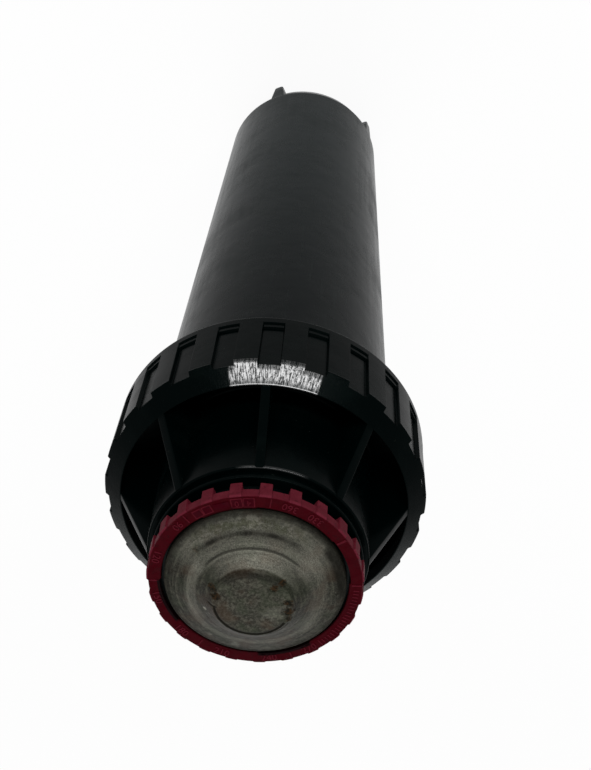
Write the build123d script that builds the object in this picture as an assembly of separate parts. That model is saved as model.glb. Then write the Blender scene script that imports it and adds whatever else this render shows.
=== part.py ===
from build123d import *
import math
import os

os.makedirs("parts", exist_ok=True)

# A gear driven pop-up sprinkler, standing on its inlet boss.
# Lengths are in millimetres, angles in degrees. The axis of the sprinkler is Z,
# heights are measured from the end of the inlet boss, and radii from the axis.

# ------------------------------------------------------------------ clearances
sliding_clearance = 0.35        # riser in the cap's guide
running_clearance = 0.08        # shafts and pins in their bearings
assembly_clearance = 0.05       # parts pushed together for good
spin_clearance = 0.5            # open gaps round the head and the turning parts in it
seal_clearance = 0.3            # rubber lips at rest
thread_clearance = 0.4          # cap thread on the case
weld = 0.4                      # how deep a rib or vane is rooted in its wall

# ------------------------------------------------------------------ riser and its spring
riser_radius = 20.0
riser_wall = 2.8
module_bore_wall = 2.0          # thinner wall above the stator's shoulder
head_step = 6.7                 # how much wider the head is than the riser
head_wall = 2.0
head_seat_gap = 0.9             # guide web of the cap to the head's cone
head_cone_height = 4.0
head_cone_drop = 1.5            # cone's upper end to the head's floor
head_flange_reach = 1.5
head_flange_thickness = 2.2
head_flange_edge = 0.4

foot_height = 6.0
foot_lip = 2.0
foot_gap = 3.0                  # case floor to foot
foot_side_gap = 0.5             # foot to the case's wall at the shoulder
foot_slot_clearance = 0.4

spring_wire = 1.6
spring_turns = 10
spring_gap = 1.2                # riser to spring
spring_rib_gap = 0.4            # spring to the case's ribs

# ------------------------------------------------------------------ case
inlet_radius = 15.6             # tapping size of a 1 in pipe thread
boss_wall = 3.9
boss_length = 14.0
boss_edge = 0.6
case_floor = 3.0
case_length = 199.0             # shoulder to rim
case_wall = 2.6
case_flare = 7.6                # how much wider the case is at its neck than at its shoulder
thread_step = 3.7               # how far the threaded band stands out from the neck
thread_length = 10.0
guide_rib_count = 4
guide_rib_first = 45.0
guide_rib_width = 2.2
guide_rib_reach = 0.8           # how far a rib reaches into the foot's slots
guide_rib_clear_of_thread = 8.0
skirting_drop = 5.5             # rim that hangs below the shoulder
skirting_lean = 1.9             # how much narrower it is at its foot
skirting_wall = 2.4
skirting_edge = 1.1
lug_count = 4
lug_first = -66.5
lug_drop = 10.5                 # how far the lugs hang below the shoulder
lug_root_width = 6.0
lug_root_depth = 2.3            # how far a lug reaches into the boss
lug_inset = 0.3                 # lug's outer end to the case's edge
lug_taper = 7.0

# ------------------------------------------------------------------ cap
skirt_wall = 5.3                # at the back edge
skirt_flare = 0.9               # how much wider the lip is than the back edge
skirt_length = 22.8             # back edge to the lip's outer edge
skirt_overlap = 0.8             # skirt behind the thread
lip_width = 5.2
lip_rise = 5.2
skirt_draft = 0.5               # how far the skirt's inner wall leans in towards the floor
cap_floor = 3.0
cap_edge = 0.5
cap_gap = 0.3                   # case rim to cap floor
collar_wall = 2.5
collar_height = 27.3            # above the lip's outer edge
collar_edge = 0.4
collar_web = 3.0
gusset_count = 8
gusset_thickness = 2.5
gusset_root = 1.0               # depth of a gusset in the collar, the floor and the lip
grip_count = 22
grip_first = -90.0
grip_width = 6.0
grip_depth = 1.1
grip_start = 3.0                # back edge to the closed end of a grip pocket
grip_ledge_depth = 0.45         # shallow step at the closed end
grip_ledge_length = 1.9

# ------------------------------------------------------------------ seals of the cap
gasket_height = 2.4
gasket_width = 2.6
gasket_groove_depth = 2.2
gasket_side_gap = 0.2
wiper_length = 6.0
wiper_wall = 4.3
wiper_lip = 0.9
wiper_hollow = 1.3              # how far the wiper is hollowed between its lips
retainer_thickness = 2.8
retainer_width = 6.6

# ------------------------------------------------------------------ inlet screen
screen_side_gap = 3.2           # basket to the riser's wall
screen_wall = 1.4
screen_height = 34.0
screen_flange = 1.6
screen_slot_count = 12
screen_slot_width = 3.2
screen_slot_end = 3.0

# ------------------------------------------------------------------ water drive
stator_height = 5.0
stator_hub_radius = 5.0
stator_rim = 1.2
stator_vane_count = 10
stator_vane_angle = -38.0
stator_bearing_floor = 1.7
turbine_gap = 3.0               # stator to turbine
turbine_head_gap = 4.0          # turbine to the gear case's bearing
turbine_side_gap = 1.8          # turbine to the riser's wall
turbine_height = 5.0
turbine_hub_radius = 4.0
turbine_rim = 1.0
turbine_vane_count = 12
turbine_vane_angle = 35.0
vane_thickness = 1.0
shaft_radius = 1.0

# ------------------------------------------------------------------ gears and their case
gear_module = 0.4
pinion_teeth = 12
wheel_teeth = 24
pressure_angle = 25.0
tooth_addendum = 0.8            # in modules
tooth_dedendum = 1.25           # in modules
tooth_backlash = 0.07
gear_width = 4.0
gear_gap = 0.6
gear_levels = 4
first_gear_gap = 0.8            # gear case floor to the first gear
last_gear_gap = 2.0             # last gear to the lid
gear_side_gap = 1.08            # largest wheel to the gear case's wall
gear_case_wall = 1.6
gear_case_floor = 2.4
bearing_boss_radius = 3.2
bearing_boss_length = 3.0
pin_depth = 1.2                 # lay pin's hold in the gear case floor and the lid
lid_thickness = 2.4
lid_boss_length = 2.0
lid_boss_radius = 5.6
lid_boss_wall = 0.9
lid_arm_count = 4
lid_arm_first = 45.0
lid_arm_width = 6.0
lid_arm_seat = 3.4              # length of an arm on the head's floor

# ------------------------------------------------------------------ turning head
output_radius = 3.0
output_neck_radius = 2.5
output_end_gap = 0.4            # output shaft to distributor
turret_shoulder_gap = 2.6       # lid boss to turret hub
turret_wall = 2.0
turret_hub_radius = 8.0
turret_deck = 3.7
turret_seal_height = 3.2
turret_seal_width = 2.0
turret_port_count = 8
turret_port_radius = 2.2
distributor_gap = 0.7           # head flange to distributor
distributor_body_height = 2.8
distributor_plate_height = 2.8
snap_depth = 0.8                # undercut of the distributor's plate
stream_count = 23
stream_width = 3.2
stream_angle = 27.0
stream_depth = 2.2
stream_length = 6.6
stream_start = 0.6              # height of a groove's inner end in the distributor
feed_overlap = 1.0              # feed ring past the inner ends of the grooves
feed_ring_depth = 2.0

ring_overhang = 0.4             # how much wider the ring is than the head's flange
ring_face_width = 4.0
ring_face_thickness = 2.0
ring_skirt_wall = 1.8
ring_play = 0.4                 # distributor's plate to the ring's skirt
ring_notch_height = 3.1         # face to the root of the notches
ring_tooth_length = 2.4
ring_tooth_share = 0.42         # of one tooth pitch
ring_hook = 0.7                 # snap hook inside the teeth
ring_hook_height = 0.6
ring_edge = 0.4
ring_tooth_relief = 0.45        # how far the wall stands back between the teeth
ring_tab_reach = 0.4
ring_tab_start = -90.0
ring_tab_width = 34.0
ring_relief_reach = 0.6         # shallow reliefs of the bore, as wide as the tab
ring_relief_starts = (2.0, 92.5, 183.0)
ring_turn = -94.7               # where the first tooth points

cover_gap = 0.7                 # ring face to cover
cover_sheet = 0.8
cover_rim_rise = 2.7            # distributor plate to the cover's edge
cover_edge = 0.9
cover_seat_depth = 1.4
cover_step_radius = 15.4
cover_step_rise = 4.0           # edge to the first step
cover_step_shelf = 0.5
cover_top_radius = 10.2
cover_top_rise = 8.3            # edge to the top's shoulder
cover_top_edge = 0.9
cover_crown = 0.6

screw_radius = 1.6
screw_head_radius = 4.2
screw_head_height = 2.6
screw_head_edge = 0.9
screw_length = 14.0
screw_end_gap = 1.0
screw_slot_width = 1.1
screw_slot_depth = 1.1

# ------------------------------------------------------------------ radii that follow
guide_bore = riser_radius + sliding_clearance
wiper_radius = guide_bore + wiper_wall
module_bore = riser_radius - module_bore_wall
screen_radius = riser_radius - riser_wall - screen_side_gap
turbine_radius = module_bore - turbine_side_gap
spring_radius = riser_radius + spring_gap + spring_wire / 2
guide_rib_radius = riser_radius + spring_gap + spring_wire + spring_rib_gap
foot_radius = guide_rib_radius + guide_rib_reach
boss_radius = inlet_radius + boss_wall
shoulder_radius = foot_radius + foot_side_gap + case_wall
neck_radius = shoulder_radius + case_flare
thread_radius = neck_radius + thread_step
cap_bore = thread_radius + thread_clearance
skirt_back_radius = cap_bore + skirt_wall
lip_radius = skirt_back_radius + skirt_flare
lip_inner_radius = lip_radius - lip_width
head_radius = riser_radius + head_step
head_bore = head_radius - head_wall
head_flange_radius = head_radius + head_flange_reach
collar_bore = head_radius + spin_clearance
collar_radius = collar_bore + collar_wall
turret_radius = head_bore - spin_clearance
turret_chamber_radius = turret_radius - turret_wall
turret_port_circle = (turret_hub_radius + turret_chamber_radius) / 2
ring_radius = head_flange_radius + ring_overhang
ring_face_inner = ring_radius - ring_face_width
ring_skirt_inner = ring_radius - ring_skirt_wall
distributor_plate_radius = ring_skirt_inner - ring_play
distributor_body_radius = distributor_plate_radius - snap_depth
stream_inner_radius = distributor_body_radius - stream_length
cover_radius = ring_face_inner - cover_gap
gear_distance = gear_module * (pinion_teeth + wheel_teeth) / 2
wheel_tip_radius = gear_module * (wheel_teeth / 2 + tooth_addendum)
gear_case_bore = gear_distance + wheel_tip_radius + gear_side_gap
gear_case_radius = gear_case_bore + gear_case_wall

# ------------------------------------------------------------------ heights that follow
shoulder_z = boss_length
case_floor_z = shoulder_z + case_floor
rim_z = shoulder_z + case_length
thread_z = rim_z - thread_length
case_slope = case_flare / (thread_z - shoulder_z)
rim_bore = shoulder_radius - case_wall + case_slope * case_length
gasket_radius = (rim_bore + thread_radius) / 2
cap_floor_z = rim_z + cap_gap
skirt_back_z = thread_z - skirt_overlap
lip_z = skirt_back_z + skirt_length
collar_z = lip_z + collar_height
wiper_top_z = cap_floor_z + wiper_length + seal_clearance
web_top_z = wiper_top_z + collar_web
riser_bottom_z = case_floor_z + foot_gap + foot_lip
foot_top_z = riser_bottom_z + foot_height
retainer_z = cap_floor_z - retainer_thickness
head_cone_z = web_top_z + head_seat_gap
head_floor_z = head_cone_z + head_cone_height + head_cone_drop
flange_top_z = collar_z + head_flange_thickness
gear_step = gear_width + gear_gap
gear_case_height = gear_case_floor + first_gear_gap + gear_levels * gear_step - gear_gap + last_gear_gap
gear_case_z = head_floor_z - gear_case_height
gear_base_z = gear_case_z + gear_case_floor + first_gear_gap
turbine_z = gear_case_z - bearing_boss_length - turbine_head_gap - turbine_height
stator_z = turbine_z - turbine_gap - stator_height
lid_top_z = head_floor_z + lid_thickness
lid_boss_z = lid_top_z + lid_boss_length
turret_hub_z = lid_boss_z + turret_shoulder_gap
turret_z = head_floor_z + turret_seal_height + seal_clearance
distributor_z = flange_top_z + distributor_gap
plate_z = distributor_z + distributor_body_height
deck_z = plate_z + distributor_plate_height
ring_top_z = deck_z + ring_face_thickness
notch_z = ring_top_z - ring_notch_height
tooth_z = notch_z - ring_tooth_length
cover_rim_z = deck_z + cover_rim_rise
screw_top_z = deck_z + screw_head_height


# ------------------------------------------------------------------ helpers
def turned(points, edges=()):
    """Solid of revolution about Z from a closed outline of (radius, height) points.

    edges lists ((radius, height), length) for the corners that are bevelled.
    """
    face = make_face(Polyline(*[(r, 0, z) for r, z in points], close=True))
    for (r, z), length in edges:
        corner = face.vertices().sort_by_distance((r, 0, z))[0]
        face = chamfer(corner, length)
    return revolve(face, Axis.Z, 360)


def tube(outer, inner, bottom, top):
    """Plain ring from bottom to top."""
    return turned([(inner, bottom), (outer, bottom), (outer, top), (inner, top)])


def post(radius, bottom, top):
    """Plain cylinder on the axis from bottom to top."""
    return Pos(0, 0, bottom) * Cylinder(radius, top - bottom, align=(Align.CENTER, Align.CENTER, Align.MIN))


def bar(inner, outer, width, bottom, top):
    """Radial bar along +X between two radii."""
    block = Box(outer - inner, width, top - bottom, align=(Align.MIN, Align.CENTER, Align.MIN))
    return Pos(inner, 0, bottom) * block


def around(shape, count, first=0.0):
    """Copies of a shape spaced evenly round Z."""
    return [Rot(0, 0, first + 360.0 * k / count) * shape for k in range(count)]


def save(shape, name):
    """Write one node as a STEP file named after it."""
    solids = shape.solids()
    body = solids[0] if len(solids) == 1 else Compound(children=list(solids))
    export_step(body, f"parts/{name}.step")


# ------------------------------------------------------------------ case body
def case_lug():
    """Tapered fin under the shoulder, along +X, from the boss wall to the case's edge."""
    inner = boss_radius - lug_root_depth
    outer = shoulder_radius - lug_inset
    footprint = Pos((inner + outer) / 2, 0, shoulder_z + weld) * Rectangle(outer - inner, lug_root_width)
    return extrude(footprint, amount=lug_drop + weld, dir=(0, 0, -1), taper=lug_taper)


def case_guide_ribs():
    """Straight ribs inside the case that steer the riser's foot, trimmed to the sloping wall."""
    top = thread_z - guide_rib_clear_of_thread
    rib = bar(guide_rib_radius, neck_radius, guide_rib_width, case_floor_z - weld, top)
    wall_middle = shoulder_radius - case_wall / 2
    trim = turned([
        (0, case_floor_z - weld),
        (wall_middle, case_floor_z - weld),
        (wall_middle + case_slope * (top - case_floor_z), top),
        (0, top),
    ])
    return [copy & trim for copy in around(rib, guide_rib_count, guide_rib_first)]


def make_case_shell():
    """Tapered case with a threaded band at the rim; an inlet boss, a skirting and four lugs below."""
    skirting_foot = shoulder_z - skirting_drop
    skirting_radius = shoulder_radius - skirting_lean
    floor_bore = shoulder_radius - case_wall + case_slope * case_floor
    shell = turned(
        [
            (inlet_radius, 0),
            (boss_radius, 0),
            (boss_radius, shoulder_z),
            (skirting_radius - skirting_wall, shoulder_z),
            (skirting_radius - skirting_wall, skirting_foot),
            (skirting_radius, skirting_foot),
            (shoulder_radius, shoulder_z),
            (neck_radius, thread_z),
            (thread_radius, thread_z),
            (thread_radius, rim_z),
            (rim_bore, rim_z),
            (floor_bore, case_floor_z),
            (inlet_radius, case_floor_z),
        ],
        [
            ((boss_radius, 0), boss_edge),
            ((skirting_radius, skirting_foot), skirting_edge),
        ],
    )
    groove_half = gasket_width / 2 + gasket_side_gap
    groove_z = rim_z - gasket_groove_depth
    shell -= tube(gasket_radius + groove_half, gasket_radius - groove_half, groove_z, rim_z + 1)
    for lug in around(case_lug(), lug_count, lug_first):
        shell += lug
    for rib in case_guide_ribs():
        shell += rib
    return shell


def cap_gusset():
    """Plate along +X from the collar's rim out and down to the lip's inner edge."""
    buried = lip_inner_radius + gusset_root
    outline = Polyline(
        (collar_radius - gusset_root, 0, cap_floor_z + cap_floor - gusset_root),
        (buried, 0, cap_floor_z + cap_floor - gusset_root),
        (buried, 0, lip_z + lip_rise - 2 * gusset_root),
        (lip_inner_radius, 0, lip_z + lip_rise - cap_edge),
        (collar_radius, 0, collar_z - collar_edge),
        (collar_radius - gusset_root, 0, collar_z - collar_edge),
        close=True,
    )
    return extrude(make_face(outline), amount=gusset_thickness / 2, both=True)


def grip_pocket():
    """Cutter of one grip pocket along +X, leaning with the skirt's outer face, with its ledge."""
    lean = math.degrees(math.atan2(skirt_flare, skirt_length))
    length = skirt_length + lip_rise
    cutter = bar(-grip_depth, grip_depth, grip_width, grip_ledge_length, length)
    cutter += bar(-grip_ledge_depth, grip_depth, grip_width, 0, length)
    start_radius = skirt_back_radius + skirt_flare * grip_start / skirt_length
    return Pos(start_radius, 0, skirt_back_z + grip_start) * Rot(0, lean, 0) * cutter


def make_cap():
    """Flared screw cap: gripped skirt, floor, raised collar with the riser's guide, and gussets."""
    cap = turned(
        [
            (cap_bore, skirt_back_z),
            (skirt_back_radius, skirt_back_z),
            (lip_radius, lip_z),
            (lip_inner_radius, lip_z + lip_rise),
            (lip_inner_radius - skirt_draft, cap_floor_z + cap_floor),
            (collar_radius, cap_floor_z + cap_floor),
            (collar_radius, collar_z),
            (collar_bore, collar_z),
            (collar_bore, web_top_z),
            (guide_bore, web_top_z),
            (guide_bore, wiper_top_z),
            (wiper_radius, wiper_top_z),
            (wiper_radius, cap_floor_z),
            (cap_bore, cap_floor_z),
        ],
        [
            ((skirt_back_radius, skirt_back_z), cap_edge),
            ((lip_radius, lip_z), cap_edge),
            ((lip_inner_radius, lip_z + lip_rise), cap_edge),
            ((collar_radius, collar_z), collar_edge),
        ],
    )
    for plate in around(cap_gusset(), gusset_count):
        cap += plate
    for cutter in around(grip_pocket(), grip_count, grip_first):
        cap -= cutter
    return cap


def make_cap_gasket():
    """Flat-sided rubber ring in the groove of the case's rim, just below the cap's floor."""
    top = cap_floor_z - assembly_clearance
    half = gasket_width / 2
    return tube(gasket_radius + half, gasket_radius - half, top - gasket_height, top)


def make_wiper_seal():
    """Rubber ring in the cap's pocket, with two thin lips towards the riser."""
    inner = riser_radius + seal_clearance
    outer = wiper_radius - assembly_clearance
    bottom = cap_floor_z
    top = wiper_top_z - assembly_clearance
    return turned([
        (outer, bottom),
        (outer, top),
        (inner + wiper_lip, top),
        (inner, top - wiper_lip),
        (inner + wiper_hollow, (bottom + top) / 2),
        (inner, bottom + wiper_lip),
        (inner + wiper_lip, bottom),
    ])


def make_seal_retainer():
    """Flat ring under the cap's floor: holds the wiper seal and stops the spring."""
    return tube(guide_bore + retainer_width, guide_bore, retainer_z, cap_floor_z)


# ------------------------------------------------------------------ riser body
def make_riser_tube():
    """Stepped tube: long slide, shoulder for the stator, and a wide head with a flange."""
    slide_bore = riser_radius - riser_wall
    return turned(
        [
            (slide_bore, riser_bottom_z),
            (riser_radius, riser_bottom_z),
            (riser_radius, head_cone_z),
            (head_radius, head_cone_z + head_cone_height),
            (head_radius, collar_z),
            (head_flange_radius, collar_z),
            (head_flange_radius, flange_top_z),
            (head_bore, flange_top_z),
            (head_bore, head_floor_z),
            (module_bore, head_floor_z),
            (module_bore, stator_z),
            (slide_bore, stator_z),
        ],
        [((head_flange_radius, flange_top_z), head_flange_edge)],
    )


def make_riser_foot():
    """Ring on the riser's lower end, slotted for the case ribs; the spring sits on it."""
    slide_bore = riser_radius - riser_wall
    seat = riser_radius + assembly_clearance
    bottom = riser_bottom_z - foot_lip
    foot = turned([
        (slide_bore, bottom),
        (foot_radius, bottom),
        (foot_radius, foot_top_z),
        (seat, foot_top_z),
        (seat, riser_bottom_z),
        (slide_bore, riser_bottom_z),
    ])
    slot = bar(
        guide_rib_radius - foot_slot_clearance,
        foot_radius + 1,
        guide_rib_width + 2 * foot_slot_clearance,
        bottom - 1,
        foot_top_z + 1,
    )
    for cutter in around(slot, guide_rib_count, guide_rib_first):
        foot -= cutter
    return foot


def make_retraction_spring():
    """Coil of flat-sided wire round the riser, from the foot up to the seal retainer."""
    bottom = foot_top_z + spring_wire / 2 + assembly_clearance
    top = retainer_z - spring_wire / 2 - assembly_clearance
    length = top - bottom
    path = Pos(0, 0, bottom) * Helix(pitch=length / spring_turns, height=length, radius=spring_radius)
    section = Plane(origin=path @ 0, x_dir=(1, 0, 0), z_dir=path % 0) * Rectangle(spring_wire, spring_wire)
    return sweep(section, path=path, is_frenet=True)


def make_inlet_screen():
    """Slotted basket that stands inside the riser on its flange."""
    bottom = riser_bottom_z
    top = bottom + screen_height
    outer = riser_radius - riser_wall - assembly_clearance
    basket = turned([
        (screen_radius - screen_wall, bottom),
        (outer, bottom),
        (outer, bottom + screen_flange),
        (screen_radius, bottom + screen_flange),
        (screen_radius, top),
        (0, top),
        (0, top - screen_wall),
        (screen_radius - screen_wall, top - screen_wall),
    ])
    slot = bar(
        screen_radius / 2,
        screen_radius + 1,
        screen_slot_width,
        bottom + screen_flange + screen_slot_end,
        top - screen_wall - screen_slot_end,
    )
    for cutter in around(slot, screen_slot_count):
        basket -= cutter
    return basket


def vane_wheel(hub, rim_outer, rim_inner, bottom, height, count, angle):
    """Hub and rim joined by flat vanes that are tilted by an angle about their own radius."""
    inner = hub - weld
    outer = rim_inner + weld
    blade = Box(outer - inner, vane_thickness, 2 * height, align=(Align.MIN, Align.CENTER, Align.CENTER))
    blade = Pos(inner, 0, bottom + height / 2) * Rot(angle, 0, 0) * blade
    slab = tube(outer, inner, bottom, bottom + height)
    wheel = post(hub, bottom, bottom + height) + tube(rim_outer, rim_inner, bottom, bottom + height)
    for copy in around(blade, count):
        wheel += copy & slab
    return wheel


def make_stator():
    """Fixed vane ring on the riser's shoulder, with the lower bearing of the turbine's shaft."""
    outer = module_bore - assembly_clearance
    wheel = vane_wheel(
        stator_hub_radius, outer, outer - stator_rim, stator_z, stator_height,
        stator_vane_count, stator_vane_angle,
    )
    top = stator_z + stator_height
    return wheel - post(shaft_radius + running_clearance, stator_z + stator_bearing_floor, top + 1)


def make_gear_case():
    """Round cup with a long bearing below, and a blind hole for the lay pin."""
    bearing = shaft_radius + running_clearance
    floor_top = gear_case_z + gear_case_floor
    cup = turned([
        (bearing, gear_case_z - bearing_boss_length),
        (bearing_boss_radius, gear_case_z - bearing_boss_length),
        (bearing_boss_radius, gear_case_z),
        (gear_case_radius, gear_case_z),
        (gear_case_radius, head_floor_z),
        (gear_case_bore, head_floor_z),
        (gear_case_bore, floor_top),
        (bearing, floor_top),
    ])
    hole = post(shaft_radius + assembly_clearance, floor_top - pin_depth, floor_top + 1)
    return cup - Pos(gear_distance, 0, 0) * hole


def make_gear_case_lid():
    """Lid with four arms that rest on the riser head's floor, and the output bearing."""
    bore = output_radius + running_clearance
    seal_seat = lid_boss_radius - lid_boss_wall
    lid = turned([
        (bore, head_floor_z),
        (gear_case_radius, head_floor_z),
        (gear_case_radius, lid_top_z),
        (lid_boss_radius, lid_top_z),
        (lid_boss_radius, lid_boss_z),
        (seal_seat, lid_boss_z),
        (seal_seat, lid_top_z),
        (bore, lid_top_z),
    ])
    arm = bar(gear_case_bore, module_bore + lid_arm_seat, lid_arm_width, head_floor_z, lid_top_z)
    for copy in around(arm, lid_arm_count, lid_arm_first):
        lid += copy
    hole = post(shaft_radius + assembly_clearance, head_floor_z - 1, head_floor_z + pin_depth)
    return lid - Pos(gear_distance, 0, 0) * hole


def make_shaft_seal():
    """Rubber ring in the lid's boss, round the output shaft."""
    outer = lid_boss_radius - lid_boss_wall - assembly_clearance
    return tube(outer, output_radius + seal_clearance, lid_top_z, lid_boss_z - seal_clearance)


def make_lay_pin():
    """Steel pin of the side gears, from the gear case floor to the lid."""
    bottom = gear_case_z + gear_case_floor - pin_depth
    top = head_floor_z + pin_depth - assembly_clearance
    return Pos(gear_distance, 0, 0) * post(shaft_radius, bottom, top)


# ------------------------------------------------------------------ gears
def involute_angle(radius, base):
    """Angle that an involute has turned through between its base circle and a radius."""
    if radius <= base:
        return 0.0
    roll = math.sqrt((radius / base) ** 2 - 1)
    return roll - math.atan(roll)


def gear_blank(teeth, bottom, height, turn=0.0):
    """Toothed disc on the axis. A tooth points along +X, turned by an angle in degrees."""
    pitch = gear_module * teeth / 2
    base = pitch * math.cos(math.radians(pressure_angle))
    root = pitch - tooth_dedendum * gear_module
    tip = pitch + tooth_addendum * gear_module
    half_at_pitch = (math.pi * gear_module / 2 - tooth_backlash) / (2 * pitch)
    half_at_base = half_at_pitch + involute_angle(pitch, base)
    flank = [(r, half_at_base - involute_angle(r, base)) for r in (root, pitch, tip)]
    tooth = [(r, -half) for r, half in flank] + [(r, half) for r, half in reversed(flank)]
    outline = []
    for k in range(teeth):
        middle = math.radians(turn) + 2 * math.pi * k / teeth
        outline += [(r * math.cos(middle + a), r * math.sin(middle + a)) for r, a in tooth]
    face = make_face(Polyline(*outline, close=True))
    return Pos(0, 0, bottom) * extrude(face, amount=height)


def compound_gear(level, wheel_turn, pinion_turn):
    """Wheel at one gear level with a pinion above it that reaches the next level."""
    bottom = gear_base_z + level * gear_step
    top = bottom + gear_width + gear_step
    wheel = gear_blank(wheel_teeth, bottom, gear_width, wheel_turn)
    pinion = gear_blank(pinion_teeth, bottom + gear_width, gear_step, pinion_turn)
    return wheel + pinion - post(shaft_radius + running_clearance, bottom - 1, top + 1)


def make_drive_pinion():
    """Pinion on the turbine's shaft, at the first gear level."""
    pinion = gear_blank(pinion_teeth, gear_base_z, gear_width)
    return pinion - post(shaft_radius + assembly_clearance, gear_base_z - 1, gear_base_z + gear_width + 1)


def make_side_gear(level):
    """Compound gear on the lay pin, with gaps that face the teeth of the central gears."""
    gear = compound_gear(level, 180.0 + 180.0 / wheel_teeth, 180.0 + 180.0 / pinion_teeth)
    return Pos(gear_distance, 0, 0) * gear


def make_output_gear():
    """Last wheel, on the output shaft."""
    bottom = gear_base_z + (gear_levels - 1) * gear_step
    wheel = gear_blank(wheel_teeth, bottom, gear_width)
    return wheel - post(output_radius + assembly_clearance, bottom - 1, bottom + gear_width + 1)


# ------------------------------------------------------------------ turbine body
def make_turbine():
    """Bladed wheel between the stator and the gear case."""
    wheel = vane_wheel(
        turbine_hub_radius, turbine_radius, turbine_radius - turbine_rim, turbine_z, turbine_height,
        turbine_vane_count, turbine_vane_angle,
    )
    return wheel - post(shaft_radius + assembly_clearance, turbine_z - 1, turbine_z + turbine_height + 1)


def make_turbine_shaft():
    """Steel shaft from the stator's bearing up to just below the output shaft."""
    bottom = stator_z + stator_bearing_floor + assembly_clearance
    top = gear_base_z + (gear_levels - 1) * gear_step - gear_gap / 2
    return post(shaft_radius, bottom, top)


# ------------------------------------------------------------------ turning head
def make_output_shaft():
    """Hollow-ended shaft: output gear below, turret on the neck, screw in the top."""
    bottom = gear_base_z + (gear_levels - 1) * gear_step
    top = distributor_z - output_end_gap
    bore_floor = deck_z - screw_length - screw_end_gap
    bore = screw_radius + assembly_clearance
    return turned([
        (0, bottom),
        (output_radius, bottom),
        (output_radius, turret_hub_z),
        (output_neck_radius, turret_hub_z),
        (output_neck_radius, top),
        (bore, top),
        (bore, bore_floor),
        (0, bore_floor),
    ])


def make_turret():
    """Rotating water chamber, open below, with a hub on the shaft and ports in its deck."""
    chamber_top = distributor_z - turret_deck
    bore = output_neck_radius + assembly_clearance
    turret = turned([
        (bore, turret_hub_z),
        (turret_hub_radius, turret_hub_z),
        (turret_hub_radius, chamber_top),
        (turret_chamber_radius, chamber_top),
        (turret_chamber_radius, turret_z),
        (turret_radius, turret_z),
        (turret_radius, distributor_z),
        (bore, distributor_z),
    ])
    port = Pos(turret_port_circle, 0, 0) * post(turret_port_radius, chamber_top - 1, distributor_z + 1)
    for cutter in around(port, turret_port_count):
        turret -= cutter
    return turret


def make_turret_seal():
    """Rubber ring under the turret's wall, just clear of the riser head's floor."""
    return tube(turret_radius, turret_radius - turret_seal_width, turret_z - turret_seal_height, turret_z)


def make_distributor():
    """Deck of the head: feed ring below, slanted stream grooves round the edge, seat for the cover."""
    bore = screw_radius + assembly_clearance
    disc = turned([
        (bore, distributor_z),
        (distributor_body_radius, distributor_z),
        (distributor_body_radius, plate_z),
        (distributor_plate_radius, plate_z),
        (distributor_plate_radius, deck_z),
        (bore, deck_z),
    ])
    disc -= tube(
        stream_inner_radius + feed_overlap,
        turret_port_circle - turret_port_radius,
        distributor_z - 1,
        distributor_z + feed_ring_depth,
    )
    disc -= tube(
        cover_radius + assembly_clearance,
        cover_radius - cover_sheet - assembly_clearance,
        deck_z - cover_seat_depth,
        deck_z + 1,
    )
    reach = distributor_plate_radius - stream_inner_radius + stream_depth
    groove = Box(reach, stream_width, stream_depth, align=(Align.MIN, Align.CENTER, Align.MAX))
    groove = Pos(stream_inner_radius, 0, distributor_z + stream_start) * Rot(0, -stream_angle, 0) * groove
    half_pitch = 180.0 / stream_count
    for cutter in around(groove, stream_count, ring_turn + half_pitch):
        disc -= cutter
    return disc


def make_turret_screw():
    """Slotted screw through the distributor into the output shaft."""
    head = turned(
        [(0, deck_z), (screw_head_radius, deck_z), (screw_head_radius, screw_top_z), (0, screw_top_z)],
        [((screw_head_radius, screw_top_z), screw_head_edge)],
    )
    slot = Pos(0, 0, screw_top_z) * Box(2 * screw_head_radius, screw_slot_width, 2 * screw_slot_depth)
    return head + post(screw_radius, deck_z - screw_length, deck_z) - slot


def cover_outline(offset):
    """Radius and height pairs of the cover's skin, moved inwards by an offset."""
    edge_z = cover_rim_z - offset
    return [
        (cover_radius - offset, edge_z),
        (cover_step_radius, edge_z + cover_step_rise),
        (cover_step_radius - cover_step_shelf, edge_z + cover_step_rise),
        (cover_top_radius, edge_z + cover_top_rise),
        (0, edge_z + cover_top_rise + cover_crown),
    ]


def make_cover():
    """Stepped dome pressed from thin stainless sheet, its edge pushed into the distributor."""
    outside = cover_outline(0)
    inside = cover_outline(cover_sheet)
    foot = deck_z - cover_seat_depth + assembly_clearance
    outline = [(cover_radius - cover_sheet, foot), (cover_radius, foot)] + outside + inside[::-1]
    return turned(outline, [
        (outside[0], cover_edge),
        (inside[0], cover_edge - cover_sheet / 2),
        (outside[3], cover_top_edge),
        (inside[3], cover_top_edge - cover_sheet / 2),
    ])


# ------------------------------------------------------------------ arc ring
def ring_bore_span(inner, outer, start):
    """Piece of a ring through the face's thickness, as wide as the tab, from a turn round the axis."""
    section = make_face(Polyline(
        (inner, 0, deck_z),
        (outer, 0, deck_z),
        (outer, 0, ring_top_z),
        (inner, 0, ring_top_z),
        close=True,
    ))
    return Rot(0, 0, start) * revolve(section, Axis.Z, ring_tab_width)


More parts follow.
